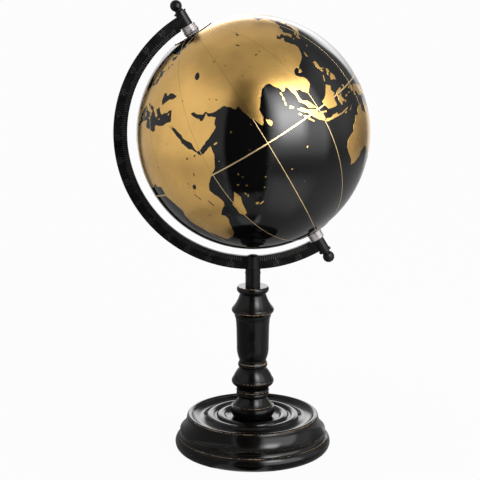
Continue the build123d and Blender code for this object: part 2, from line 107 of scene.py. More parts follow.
# Coastlines as (longitude, latitude) in degrees, one point for each turn of the shore.
OLD_WORLD = (
    (32.3, 31.2), (30, 31.5), (27.5, 31.2), (25.1, 31.7), (23.2, 32.3), (21.6, 32.9), (20.1, 32.2), (20, 30.8),
    (18, 30.3), (15.6, 31.6), (15.2, 32.4), (12.2, 32.9), (10.2, 33.9), (10.6, 35.4), (11, 37), (9.8, 37.3), (7, 37),
    (3, 36.9), (-0.6, 35.8), (-2.9, 35.2), (-5.3, 35.8), (-6.3, 34.4), (-9.2, 32.5), (-9.7, 30.4), (-11.4, 28.4),
    (-14.8, 26), (-17, 21.2), (-16.2, 19.2), (-16.5, 16.1), (-17.5, 14.7), (-16.8, 12.4), (-15, 10.8), (-13.3, 9),
    (-12.9, 7.8), (-11.3, 6.6), (-7.6, 4.4), (-4, 5.3), (-2, 4.8), (1.2, 6.1), (4.4, 6.3), (6, 4.3), (8.5, 4.7),
    (9.6, 3.8), (9.5, 1), (8.9, -0.7), (11.2, -3.8), (12.2, -5.9), (13.3, -8.8), (13.8, -10.9), (12.4, -13.6),
    (11.8, -16.8), (12.6, -18.6), (14.4, -22.8), (15.2, -26.8), (17.2, -29.6), (18.2, -32.2), (18.4, -34.8),
    (20, -35.8), (22.8, -35.2), (26.2, -34.8), (29.3, -33.2), (31.2, -31), (32.6, -28.8), (33.6, -26.4), (36, -24.2),
    (35.9, -21.4), (34.7, -19.9), (37, -17.7), (40, -16.2), (41.2, -14.2), (40.5, -10.8), (39.4, -8.2), (38.8, -5.8),
    (39.7, -4), (41.9, -1.8), (44.4, 0.2), (47.3, 2), (49.2, 4.6), (50.6, 7.9), (51.1, 10.4), (51.3, 11.9),
    (49, 11.3), (46.5, 10.7), (44.3, 10.4), (43.2, 11.5), (42.9, 12.6), (41.2, 14.6), (39.6, 15.5), (38.4, 18),
    (37.2, 19.6), (37.1, 21.2), (35.5, 23.9), (33.8, 26.6), (32.6, 29), (32.5, 29.9), (33.3, 28.5), (34.2, 27.8),
    (34.9, 29.4), (34.8, 28.1), (35.8, 27.2), (37.3, 24.9), (38.8, 23.2), (39.2, 21.3), (41, 19), (42.5, 16.8),
    (42.8, 14.8), (43.4, 12.8), (45, 12.8), (48.6, 14), (52.2, 15.6), (54.8, 17), (57.3, 18.5), (57.8, 20.3),
    (60.1, 22.6), (58.6, 23.6), (56.7, 24.5), (56.4, 26.3), (54.6, 24.7), (52.5, 24.2), (51.5, 24.6), (51.6, 25.9),
    (50.8, 25.4), (50.1, 26.7), (48.8, 28.2), (48, 29.6), (48.5, 30.3), (50.2, 30), (51, 28.6), (52.6, 27.5),
    (54.6, 26.6), (56.4, 27.1), (57.2, 25.9), (58.9, 25.5), (61.6, 25.2), (64.6, 25.3), (66.6, 25.2), (67.3, 24),
    (68.7, 23.2), (69.1, 22.2), (70.4, 20.9), (72, 21.3), (72.5, 22.2), (72.8, 20.6), (72.8, 18.9), (73.5, 16),
    (74.8, 13), (75.8, 11.2), (76.4, 9.5), (77.5, 8.1), (78.2, 8.9), (78.9, 10.3), (79.6, 11.8), (79.9, 13.4),
    (79.9, 15.2), (80.9, 16.2), (82.3, 17.6), (84, 19.4), (85.8, 21.2), (87.2, 22.6), (89, 23.2), (90.8, 23.4),
    (91.9, 22.6), (92.4, 20.8), (94, 18.8), (94.4, 16.1), (95.6, 15.8), (96.9, 17.2), (97.7, 16), (98.5, 13),
    (98.6, 10.4), (98.3, 8.1), (100.3, 5.9), (100.9, 3.5), (103.4, 1.4), (104.2, 1.5), (103.4, 4.2), (102.3, 6.2),
    (100.5, 7.3), (99.3, 9.4), (99.8, 11.6), (100.1, 13.4), (100.9, 12.7), (102.4, 12.1), (103.6, 10.5), (104.8, 8.6),
    (106.7, 10.3), (109.2, 11.8), (109.2, 13.9), (108.2, 16.1), (105.8, 18.8), (106.6, 20.3), (108.2, 21.6),
    (109.7, 21.5), (110.3, 20.3), (111.8, 21.6), (114.2, 22.4), (117, 23.5), (119.5, 25.6), (121.6, 28.4),
    (122, 30.4), (121.2, 32), (119.4, 34.8), (120.3, 36), (122.5, 36.9), (120.8, 37.8), (118.8, 37.6), (117.8, 38.9),
    (119.3, 39.4), (121.3, 40.8), (121.2, 38.9), (123, 39.6), (124.8, 39.6), (125, 38), (126.4, 37), (126.4, 34.5),
    (129.2, 35.2), (129.4, 37), (127.6, 39.4), (129.7, 41), (131, 42.6), (135.2, 44), (138.4, 46.8), (140.5, 50.5),
    (141.3, 53.2), (137.5, 54), (135.3, 54.8), (139.5, 57.2), (143.2, 59.3), (150, 59.5), (155, 59.3), (160.3, 61.6),
    (163, 62.4), (160, 60.5), (156.8, 57.8), (155.7, 54.5), (156.7, 51), (159.9, 53.2), (162.1, 56.1), (163.2, 58),
    (166, 60.2), (170.5, 60), (174.5, 61.8), (179.3, 62.4), (177.5, 64.7), (181.5, 65.2), (186.5, 64.4),
    (190.2, 66.1), (185, 67.2), (180, 69.6), (170.5, 71.5), (161, 73), (152, 75), (140, 76.6), (130, 77.4),
    (127, 78.4), (113.5, 79.2), (107, 79.8), (104.2, 80.2), (98, 80), (87, 79.6), (80.8, 79), (80, 78.4), (75, 77.6),
    (73, 76.4), (70, 75.2), (67, 72.6), (60.5, 71), (54, 70), (46.5, 69.4), (44, 66.2), (43.3, 68.5), (40, 65.5),
    (38, 64.2), (34.8, 64.4), (32.8, 67), (41, 66.8), (38.5, 68.3), (33, 69.4), (28.5, 71), (20, 69.8), (14.8, 68),
    (12, 65.2), (9, 63.5), (5, 62), (5.2, 59.5), (7, 58), (10.5, 59), (11.5, 58), (12.8, 55.6), (14.2, 55.4),
    (16.5, 57), (18.8, 59.8), (17.3, 61.5), (19.5, 63.6), (22.5, 65.8), (25.3, 65), (21.5, 62.5), (21.3, 60.8),
    (25, 60.1), (29.8, 60), (24, 59.3), (23.6, 57.2), (21, 56.8), (21, 55.3), (18.8, 54.5), (14.3, 54), (10.9, 54),
    (9.9, 55), (10.5, 57.6), (8.2, 56.6), (8.6, 54), (4.8, 52.8), (3.5, 51.4), (1.7, 50.6), (-1.6, 49.6),
    (-1.6, 48.7), (-4.7, 48.4), (-1.8, 46.5), (-1.4, 43.5), (-4, 43.5), (-9.2, 43), (-8.8, 41), (-9.5, 38.7),
    (-8.9, 37), (-6.4, 36.8), (-5.5, 36.2), (-2.2, 36.8), (-0.6, 37.7), (0.1, 38.8), (-0.2, 39.6), (0.8, 40.8),
    (3.2, 42.2), (4, 43.5), (7.4, 43.7), (8.9, 44.4), (10.3, 43.3), (12.3, 41.7), (14.2, 40.7), (15.8, 39.9),
    (15.7, 38), (16.6, 38.5), (17.1, 39.2), (16.9, 40.4), (18.4, 39.9), (16.1, 41.8), (13.6, 43.5), (12.4, 44.6),
    (12.6, 45.5), (13.7, 45.6), (13.9, 44.9), (15.2, 44.1), (17.5, 42.9), (19.4, 41.9), (19.4, 40.5), (21, 38.8),
    (21.6, 36.9), (23, 36.5), (23.1, 37.5), (24, 37.7), (22.9, 39.2), (22.8, 40.5), (24, 40.2), (26, 40.8),
    (26.2, 40), (26.6, 38.5), (27.3, 37), (28.3, 36.6), (30.6, 36.8), (32.5, 36.1), (34.6, 36.7), (36.1, 36.6),
    (35.7, 34.6), (34.9, 32.6), (34.3, 31.3),
)
BLACK_SEA = (
    (28.2, 42), (28.2, 43.6), (29.8, 45.2), (31, 46.6), (33.2, 46), (32.7, 45.3), (33.6, 44.5), (35.4, 45.1),
    (36.8, 45.2), (38.3, 44.4), (40, 43.4), (41.6, 42), (40.2, 41), (38, 41.1), (35, 42.1), (32, 41.7), (29.2, 41.2),
)
NEW_WORLD = (
    (-168, 65.6), (-162, 66.5), (-166, 68.3), (-156.5, 71.3), (-141, 69.7), (-128, 70), (-115, 68.2), (-102, 67.8),
    (-95, 68), (-94, 71.8), (-86, 69.5), (-81.5, 69.2), (-82, 66.8), (-87, 65), (-94, 61), (-94.5, 58.8), (-92.5, 57),
    (-85, 55.3), (-82.3, 53), (-80, 51.3), (-79, 54), (-77, 56.5), (-78.3, 60), (-77.5, 62.4), (-73, 62.2),
    (-69.5, 59), (-65, 60), (-61.5, 56.5), (-56, 52.5), (-60, 50.2), (-66.5, 50), (-64.5, 48.5), (-65, 47),
    (-61, 45.7), (-66, 43.6), (-67, 44.8), (-70, 43.6), (-70.2, 41.8), (-74, 40.6), (-75.5, 37.3), (-76, 35),
    (-81, 32), (-80.2, 27), (-81, 25.2), (-82.8, 28.5), (-85, 29.8), (-89.5, 29.3), (-94.5, 29.3), (-97.3, 27),
    (-97.7, 22.5), (-95.5, 18.6), (-91.5, 18.6), (-90.3, 21), (-87, 21.4), (-88.2, 17), (-88.5, 15.8), (-83.3, 15),
    (-83.6, 11), (-81.5, 8.9), (-79.5, 9.5), (-77, 8.4), (-75.5, 10.6), (-72, 12.2), (-71.5, 10.8), (-68, 11),
    (-62.5, 10.6), (-60, 8.4), (-57, 6), (-52, 4.6), (-50, 1.2), (-49, -0.8), (-44.5, -2.6), (-40, -2.9),
    (-35.3, -5.2), (-35, -8.5), (-38.7, -13), (-39.2, -17.7), (-41.8, -22.8), (-46.5, -24.2), (-48.6, -27.8),
    (-52.3, -32.4), (-54.8, -34.8), (-58.3, -34.2), (-56.8, -36.8), (-62.2, -39), (-65.1, -41.2), (-64.2, -42.8),
    (-67.4, -46.2), (-65.8, -47.9), (-69, -51.4), (-68.4, -53), (-65.3, -54.7), (-70.5, -55.4), (-74.6, -51.5),
    (-75.4, -46.8), (-73.2, -42), (-73.5, -37.5), (-71.5, -32.5), (-70.3, -25), (-70.3, -18.4), (-76, -14),
    (-79.5, -8), (-81.3, -4.7), (-80, -2.5), (-80.2, 0.7), (-77.5, 3.8), (-77.9, 7.2), (-80.3, 7.3), (-83, 8.4),
    (-85.8, 10.4), (-87.6, 13), (-92.5, 14.6), (-96, 15.7), (-101, 17.3), (-105.6, 20.3), (-105.8, 22.8),
    (-109.3, 25.7), (-112.8, 30), (-114.7, 31.7), (-112.6, 28), (-109.6, 23.2), (-112.2, 25.2), (-115.2, 29),
    (-117.2, 32.6), (-120.6, 34.6), (-122.6, 37.8), (-124.4, 40.5), (-124, 46.5), (-123, 49), (-128, 51.5),
    (-130.5, 54.8), (-134, 58), (-139.8, 59.7), (-146.5, 60.8), (-151.7, 59.2), (-151, 61), (-154, 58.6),
    (-158.5, 56), (-164.8, 54.6), (-160, 56.2), (-157.6, 58.7), (-162, 58.8), (-165.2, 61), (-164, 63), (-161, 64),
    (-166, 64.6),
)
ISLANDS = (
    (
        (49.3, -12), (50.4, -15.8), (49, -18.6), (47.2, -24.8), (45.2, -25.6), (43.6, -23.4), (44.3, -20.2),
        (44, -17.4), (46.3, -15.8), (48, -13.8),
    ),
    ((79.9, 9.8), (81.2, 8.6), (81.9, 7.3), (81.2, 6.2), (80.3, 6), (79.8, 7.4)),
    (
        (95.3, 5.7), (97.5, 5.2), (99.6, 3), (101.5, 2), (103.4, 0.4), (104, -1.2), (105.8, -2.8), (105.8, -5.8),
        (104.4, -5.8), (102.2, -3.8), (100.4, -1.4), (98.8, 1.6), (96.6, 3.7),
    ),
    (
        (105.2, -6.6), (106.6, -6), (108.6, -6.7), (110.8, -6.4), (112.8, -6.9), (114.4, -7.8), (114.4, -8.7),
        (111, -8.2), (108.2, -7.8), (106.4, -7.4),
    ),
    (
        (109.1, 1.6), (111.2, 2.2), (113, 3.2), (114.6, 4.8), (116.8, 7), (119.2, 5.2), (117.8, 3.6), (118.9, 1),
        (117.5, 0.6), (116.4, -1.8), (116.2, -4), (114.4, -4.1), (111.8, -3.4), (110.2, -2.8), (109.2, -0.4),
    ),
    (
        (119.8, 0.6), (121, 1.2), (124.9, 1.6), (124.3, 0.4), (120.4, 0.4), (120.2, -0.9), (121.4, -1), (123.3, -0.9),
        (121.9, -1.9), (122.8, -4.2), (121.6, -4.8), (120.9, -3), (120.3, -5.5), (119.4, -5.4), (119, -2.8),
    ),
    (
        (120.6, 18.5), (122.2, 18.4), (122.2, 16.4), (121.6, 14.6), (124.1, 12.8), (122.6, 13.6), (120.7, 13.8),
        (119.9, 16.2),
    ),
    ((122, 7), (123.4, 8.6), (125.4, 9.7), (126.5, 7.6), (125.5, 5.7), (124, 6.4)),
    ((124.3, 12.5), (125.4, 12.4), (125.4, 10.4), (124.6, 10.2), (123.4, 11.2)),
    ((117.2, 8.4), (119.3, 11.2), (119.5, 10.6), (117.8, 8.5)),
    ((120.2, 23.1), (121.5, 25.2), (121.9, 24.8), (121, 22.1)),
    ((108.7, 19.2), (109.6, 20), (111, 19.8), (110.2, 18.4), (109, 18.4)),
    (
        (131, -0.8), (134, -0.8), (135.2, -3.2), (138, -1.7), (141, -2.6), (145, -4.4), (147.8, -6), (147.2, -7),
        (150.4, -10.6), (147.4, -10), (144.6, -7.6), (142.8, -9.2), (139, -8), (138, -5.6), (133, -4), (132.8, -2.6),
        (131.2, -1.6),
    ),
    ((123.5, -10.3), (125.2, -9.3), (127.2, -8.4), (125.8, -9.2), (124.4, -10.2)),
    ((116.8, -8.4), (119.2, -8.3), (122.8, -8.2), (122.4, -8.8), (118.8, -8.9), (116.8, -9)),
    ((114.6, -8.1), (116.4, -8.2), (116.2, -8.9), (114.8, -8.6)),
    ((127.5, 1.8), (128.6, 1.4), (128, 0.2), (128.4, -0.8), (127.6, 0.2)),
    ((127.9, -3.2), (130.6, -3), (130.6, -3.7), (128.4, -3.5)),
    (
        (142.5, -10.8), (143.6, -14.2), (145.4, -15), (146.3, -18.8), (149.2, -20.8), (153, -25.2), (153.5, -28.4),
        (151.4, -33.4), (150, -37.4), (146.4, -39), (143.6, -38.8), (140.6, -38), (138.4, -35.6), (137.8, -32.8),
        (136, -34.8), (134.2, -33), (131.2, -31.5), (126, -32.3), (123.6, -33.9), (118.4, -34.9), (113.8, -34.6),
        (114.4, -31.8), (112.6, -27.2), (112.4, -24.6), (114.2, -21.8), (117, -20.7), (121, -19.6), (122.2, -17.2),
        (124.4, -16.4), (126.4, -14), (129.4, -15), (130.8, -12.4), (132.8, -11.4), (136.8, -12.2), (135.5, -14.8),
        (139.2, -17.4), (140.9, -17.4), (141.6, -14),
    ),
    ((144.7, -40.8), (148.2, -40.9), (148, -43), (146.6, -43.6), (145.3, -42.6)),
    ((172.7, -34.5), (174.8, -36.4), (178.4, -37.7), (177, -39.4), (175.4, -41.6), (173.8, -39.3), (174.6, -37.4)),
    ((172.8, -40.6), (174.2, -41.6), (172.8, -43.8), (170.6, -45.8), (168.4, -46.6), (166.5, -45.8), (170.4, -43)),
    (
        (130.9, 34), (132.6, 35.4), (136, 35.8), (137.2, 37.4), (139.4, 38.2), (140.2, 41.2), (141.6, 41.2),
        (141.9, 39.4), (140.8, 36), (139.2, 34.8), (136.8, 34.5), (135.8, 33.5), (135, 34.6),
    ),
    ((130, 33.4), (131.2, 33.8), (131.8, 32.8), (131.2, 31.4), (130.2, 31.3), (129.8, 32.8)),
    ((132.4, 33.6), (134.4, 34.3), (134.4, 33.6), (133, 32.8)),
    ((140.1, 42), (140.4, 43.2), (141.7, 45.4), (143.6, 44.2), (145.3, 43.9), (143.3, 42.1), (141.2, 42.4)),
    ((142, 46.2), (142, 49.6), (142.2, 53.4), (142.8, 54.2), (143.6, 51), (143, 49.2), (144.2, 49), (142.8, 46.8)),
    (
        (-5.4, 50.1), (-2, 50.6), (1.2, 51.2), (1.6, 52.7), (-0.2, 53.6), (-1.8, 55.6), (-2, 57.6), (-3.2, 58.6),
        (-5, 58.5), (-5.8, 56.4), (-3.2, 54.6), (-4.4, 53.2), (-5, 51.8), (-3.2, 51.3),
    ),
    ((-6.2, 52.3), (-5.8, 54.4), (-7.4, 55.3), (-10, 54.2), (-9.8, 51.6)),
    ((-22.6, 63.9), (-18.6, 63.4), (-13.8, 64.8), (-15.6, 66.4), (-20.4, 65.9), (-24.2, 65.6)),
    ((51.6, 71.4), (55, 73.4), (60, 75.6), (68.6, 76.9), (66, 75.8), (58, 72.8), (57.4, 70.8), (53.6, 70.8)),
    ((11, 79.6), (16.6, 76.7), (21.4, 78.4), (26.8, 80.2), (18, 80.2)),
    ((96, 79), (100, 78.2), (105, 78.8), (98, 81), (91.5, 80.4)),
    ((137.5, 75.6), (142, 75), (150.4, 75.2), (145, 76)),
    ((8.2, 40.9), (9.6, 41.1), (9.6, 39.2), (8.5, 39)),
    ((8.7, 42.5), (9.4, 42.9), (9.3, 41.5)),
    ((12.5, 37.9), (15.5, 38.2), (15.2, 36.8)),
    ((23.6, 35.5), (26.2, 35.2), (24.8, 34.9)),
    ((32.4, 34.9), (34.4, 35.6), (33.4, 34.6)),
    (
        (-73, 78.3), (-60, 76.2), (-54, 71), (-51, 67), (-48, 61), (-43.5, 60), (-40, 64.5), (-33, 67.8), (-22, 70.5),
        (-19, 75.5), (-18, 80), (-32, 83.3), (-50, 82), (-65, 81),
    ),
    ((-80, 73.6), (-72, 71.2), (-62, 66.6), (-66, 62.4), (-74, 64.6), (-78, 69.6), (-88, 70.8)),
    ((-117, 70), (-105, 69), (-101, 70.5), (-106, 73.2), (-115, 72.6)),
    ((-125, 72), (-120.5, 71.6), (-118, 73.4), (-123, 74.3)),
    ((-90, 77), (-78, 76.6), (-66, 81.6), (-74, 83), (-92, 81.5)),
    ((-59, 47.7), (-53, 46.8), (-53.4, 49), (-56.6, 51.2), (-58.6, 49.4)),
    ((-84.7, 22), (-80, 23), (-74.3, 20.2), (-77.6, 19.9), (-78.6, 21.3), (-82, 22.3)),
    ((-74.2, 19.7), (-70, 19.7), (-68.5, 18.5), (-71.4, 17.8), (-74.2, 18.4)),
    ((164, -20.1), (165.6, -21.2), (167, -22.3), (166.2, -22.5), (164.2, -20.9)),
    ((148.4, -5.5), (151.6, -4.2), (152.3, -4.8), (150, -6.4)),
)
# Islets and lakes as (longitude, latitude, half length, half width, turn of the long side from east).
ISLETS = (
    (63, 13, 0.55, 0.5, 0), (66.4, 1.8, 0.4, 0.35, 0), (55.9, -5.5, 0.55, 0.45, 60), (56.9, -7.5, 0.5, 0.45, 0),
    (52.8, -9.8, 0.55, 0.45, 0), (56.1, -12, 0.5, 0.45, 0), (66, -13, 0.45, 0.4, 0), (51.3, 4.2, 0.3, 0.25, 0),
    (72.9, 11.2, 0.45, 0.3, 90), (62.8, -17.3, 0.35, 0.3, 0), (78.7, -16.7, 0.35, 0.3, 0),
    (90.4, -11.6, 0.6, 0.3, 40), (53.2, -15.5, 0.6, 0.35, 80), (53.7, -16.8, 0.7, 0.3, 60),
    (55.1, -22.7, 0.9, 0.7, 0), (57, -23.6, 1.4, 0.35, 10), (53.8, 12.1, 1.1, 0.4, 5), (93.1, 15.6, 0.9, 0.35, 85),
    (92.7, 13.2, 1.2, 0.4, 80), (92.1, 10.8, 0.9, 0.35, 75), (93, 8.2, 0.8, 0.35, 40), (94, 7.4, 0.7, 0.35, 30),
    (95.3, 3, 0.9, 0.4, -50), (97, 0.9, 0.9, 0.45, -50), (98.3, -1.4, 0.9, 0.4, -55), (99.3, -2.9, 0.7, 0.35, -50),
    (104.3, 0.9, 0.5, 0.4, 0), (106.2, -2.4, 0.9, 0.5, -30), (107.9, -2.9, 0.6, 0.5, 0), (113.2, -7, 0.9, 0.3, 0),
    (119.8, -9.6, 0.9, 0.35, 0), (123.6, 10.6, 0.8, 0.4, 60), (121.1, 13, 0.7, 0.5, -40), (122.9, 10.2, 0.8, 0.4, 80),
    (123.3, -5, 0.7, 0.4, 80), (126.2, -3.5, 0.7, 0.5, 0), (134.4, -6, 0.8, 0.4, 70), (126.5, 33.4, 0.6, 0.35, 0),
    (128.2, 26.6, 0.6, 0.3, 50), (51, 26.2, 0.2, 0.2, 0), (-77.3, 18.2, 1, 0.45, 0), (-66.5, 18.2, 0.8, 0.4, 0),
    (-60.5, -51.8, 0.9, 0.5, 0), (-58.6, -51.8, 0.8, 0.5, 0), (-155.6, 19.6, 0.6, 0.6, 0),
    (-157.2, 21.1, 0.7, 0.3, -30), (-16.5, 28.2, 0.5, 0.4, 0), (-14, 28.6, 0.5, 0.3, 40), (-23.8, 15.1, 0.5, 0.4, 0),
    (-27, 38.5, 0.5, 0.3, 0), (178, -17.8, 0.7, 0.6, 0), (155.2, -6.2, 0.9, 0.4, -50), (157.2, -7.6, 0.7, 0.35, -40),
    (160, -9.5, 0.8, 0.35, -30), (167, -15.5, 0.8, 0.4, 80), (-91, -0.6, 0.6, 0.5, 0), (-82, 79.5, 1.4, 0.6, 0),
    (-98, 75.5, 1.6, 0.8, 0), (-95, 79.2, 1.5, 0.8, 0), (-112, 76.2, 1.6, 0.7, 0), (-153.5, 57.4, 1, 0.5, 45),
    (-132, 53.2, 1, 0.5, -60), (-126, 49.7, 1.8, 0.5, -40), (3, 39.6, 0.6, 0.3, 0), (18.5, 57.5, 0.5, 0.3, 60),
    (53, 80.5, 0.9, 0.5, 0), (60, 80.8, 1, 0.4, 0),
)
LAKES = (
    (59.6, 45.8, 2.1, 1.4, 80), (32.4, -1, 1.5, 1.1, 60), (30.4, -6.6, 2.4, 0.3, -68), (34.8, -12, 2.2, 0.3, -80),
    (35.9, 3.8, 1.1, 0.25, 80), (30.1, 1.2, 0.5, 0.25, 50), (29.3, -0.2, 0.45, 0.25, 50), (14.9, 13.4, 0.7, 0.35, 0),
    (36.7, 12.1, 0.6, 0.5, 0), (41.1, 11.5, 0.6, 0.4, 20), (104.2, 55.4, 1.9, 0.45, 62), (94.9, 48.9, 1.4, 0.4, -60),
    (45.4, 37.7, 0.35, 0.25, 60), (74.6, 48.3, 1, 0.22, 20), (89.6, 34.7, 0.35, 0.3, 0), (98.2, 38.6, 0.6, 0.35, 0),
    (101.6, 38.9, 0.45, 0.35, 0), (64.4, 29.9, 0.45, 0.3, -40), (61.3, 31.5, 0.4, 0.3, 0),
    (28.6, -17.3, 0.5, 0.25, 40), (31.5, 61, 0.9, 0.6, 60), (35.4, 61.8, 0.7, 0.4, 80), (13.5, 58.9, 0.6, 0.35, 50),
)
GREAT_LAKES = (
    (-87.5, 47.7, 2.2, 0.7, 5), (-87, 43.8, 1.9, 0.6, 85), (-82.4, 44.7, 1.3, 0.8, -60), (-81.2, 42.2, 1.3, 0.4, 20),
    (-77.8, 43.7, 1, 0.35, 5), (-97.5, 52, 1.8, 0.5, -70), (-114.5, 61.7, 1.6, 0.5, 15), (-121, 66, 1.4, 0.8, 20),
)
# Strokes of the scale's figures, on a cell one unit wide, its height, and the step from one figure to the next.
FIGURE_HEIGHT = 1.6
FIGURE_ADVANCE = 1.55
FIGURE_STROKES = {
    "0": ((0.25, 0), (0.75, 0), (1, 0.3), (1, 1.3), (0.75, 1.6), (0.25, 1.6), (0, 1.3), (0, 0.3), (0.25, 0)),
    "1": ((0.25, 1.3), (0.55, 1.6), (0.55, 0)),
    "2": ((0, 1.25), (0.25, 1.6), (0.75, 1.6), (1, 1.25), (0, 0), (1, 0)),
    "3": ((0, 1.35), (0.3, 1.6), (0.75, 1.6), (1, 1.25), (0.6, 0.85), (1, 0.4), (0.75, 0), (0.25, 0), (0, 0.3)),
    "4": ((0.75, 0), (0.75, 1.6), (0, 0.5), (1, 0.5)),
    "5": ((1, 1.6), (0.1, 1.6), (0, 0.9), (0.7, 1), (1, 0.6), (0.8, 0.1), (0.3, 0), (0, 0.25)),
    "6": ((0.85, 1.6), (0.3, 1.2), (0, 0.5), (0.3, 0), (0.75, 0), (1, 0.4), (0.75, 0.85), (0.1, 0.7)),
    "7": ((0, 1.6), (1, 1.6), (0.4, 0)),
    "8": (
        (0.5, 0.85), (0.1, 1.2), (0.3, 1.6), (0.7, 1.6), (0.9, 1.2), (0.5, 0.85), (0.05, 0.4), (0.3, 0), (0.7, 0),
        (0.95, 0.4), (0.5, 0.85),
    ),
}


def length_property(name, description, default):
    return FloatProperty(name=name, description=description, default=default, unit="LENGTH", precision=5)


def angle_property(name, description, degrees):
    return FloatProperty(name=name, description=description, default=math.radians(degrees), subtype="ANGLE")


def number_property(name, description, default):
    return FloatProperty(name=name, description=description, default=default)


def colour_property(name, description, default):
    return FloatVectorProperty(
        name=name, description=description, default=default, size=4, subtype="COLOR", min=0, max=1
    )


class MapSettings(PropertyGroup):
    facing_longitude: angle_property("Facing longitude", "Meridian that faces the front of the stand", 67.7)
    pole_hole: length_property("Pole hole", "Radius of the opening at each pole of the ball", 0.00445)
    foil_lift: length_property("Foil lift", "Height of the gold land above the black sea", 0.00009)
    line_lift: length_property("Line lift", "Height of the gold lines above the black sea", 0.000045)
    equator_width: length_property("Equator width", "Width of the equator line", 0.0011)
    meridian_width: length_property("Meridian width", "Width of a meridian line", 0.0005)
    meridian_gap: angle_property("Meridian gap", "Angle between meridian lines", 30)
    first_meridian: angle_property("First meridian", "Longitude of the first meridian line", 15)
    coast_step: number_property("Coast step", "Longest straight run of shore, in degrees", 0.4)
    coast_seed: IntProperty(name="Coast seed", description="Which of many wandering shores is drawn", default=4, min=1)
    coast_wander: number_property("Coast wander", "How far the shore strays, in degrees", 0.42)
    foil_cell: number_property("Foil cell", "Size of a foil facet, in degrees", 2.0)


class ScaleSettings(PropertyGroup):
    setback: length_property("Arm setback", "Shift of the arm's arc towards its belly", 0.0023)
    drop: length_property("Arm drop", "Shift of the arm's arc along the axle", 0.00075)
    inner_radius: length_property("Inner radius", "Radius of the arm's inner edge", 0.1077)
    half_thickness: length_property("Half thickness", "Distance from the arm's middle to its face", 0.0025)
    relief: length_property("Relief", "Height of the scale above the arm's face", 0.00016)
    tick_start: length_property("Tick start", "Gap from the inner edge to the ticks", 0.0006)
    tick_width: length_property("Tick width", "Width of a tick", 0.0005)
    tick_lengths: FloatVectorProperty(
        name="Tick lengths", description="Length of a one, five and ten degree tick",
        default=(0.0037, 0.0046, 0.0056), unit="LENGTH", precision=5,
    )
    figure_start: length_property("Figure start", "Gap from the inner edge to the figures", 0.0069)
    figure_height: length_property("Figure height", "Height of a figure", 0.0032)
    stroke_width: length_property("Stroke width", "Width of a figure's stroke", 0.00036)


class CapSettings(PropertyGroup):
    inner_radius: length_property("Inner radius", "Distance from the ball's centre to the cap's underside", 0.1013)
    thickness: length_property("Thickness", "Thickness of the cap", 0.0006)
    bevel: length_property("Bevel", "Width of the rounded rim", 0.0002)
    hole: angle_property("Hole", "Angle from the pole to the edge of the hole", 2.54)
    rim: angle_property("Rim", "Angle from the pole to the rim", 10.5)


class RingSettings(PropertyGroup):
    inner_radius: length_property("Inner radius", "Radius of the hole round the axle", 0.00225)
    outer_radius: length_property("Outer radius", "Radius of the ring", 0.0064)
    foot: length_property("Foot", "Distance from the ball's centre to the ring's lower face", 0.10671)
    height: length_property("Height", "Height of the ring", 0.0014)
    bevel: length_property("Bevel", "Width of the rounded edges", 0.0002)


class FinishSettings(PropertyGroup):
    gold: colour_property("Gold", "Land on the ball", (0.9, 0.545, 0.165, 1))
    line: colour_property("Line", "Equator and meridians on the ball", (0.85, 0.64, 0.33, 1))
    sea: colour_property("Sea", "Black of the ball", (0.002, 0.002, 0.0022, 1))
    paint: colour_property("Paint", "Black of the turned wood", (0.0024, 0.0022, 0.002, 1))
    rub: colour_property("Rub", "Brown where the paint is rubbed through", (0.2, 0.135, 0.078, 1))
    metal: colour_property("Metal", "Black of the arm and its fittings", (0.0045, 0.0043, 0.0042, 1))
    clear: colour_property("Clear", "Tint of the clear polar pieces", (0.8, 0.735, 0.73, 1))


class StageSettings(PropertyGroup):
    camera_place: FloatVectorProperty(
        name="Camera place", description="Where the camera stands", default=(-0.0114, -1.34, 0.493), unit="LENGTH"
    )
    camera_pitch: angle_property("Camera pitch", "How far the camera looks down", 12.65)
    camera_lens: number_property("Lens", "Focal length in millimetres", 117.0)
    key_light: number_property("Key light", "Brightness of the soft box at the right", 13.0)
    back_light: number_property("Back light", "Brightness of the panel above and behind", 0.17)
    left_wall: number_property("Left wall", "Brightness of the left wall", 0.8)
    right_wall: number_property("Right wall", "Brightness of the right wall", 3.6)
    ceiling: number_property("Ceiling", "Brightness of the ceiling", 0.37)


class GlobeSettings(PropertyGroup):
    map: PointerProperty(type=MapSettings, name="Map", description="The ball's map")
    scale: PointerProperty(type=ScaleSettings, name="Scale", description="The arm's degree scale")
    cap: PointerProperty(type=CapSettings, name="Cap", description="The clear caps over the poles")
    ring: PointerProperty(type=RingSettings, name="Ring", description="The thrust ring above the upper bushing")
    finish: PointerProperty(type=FinishSettings, name="Finish", description="Colours")
    stage: PointerProperty(type=StageSettings, name="Stage", description="Camera and light")


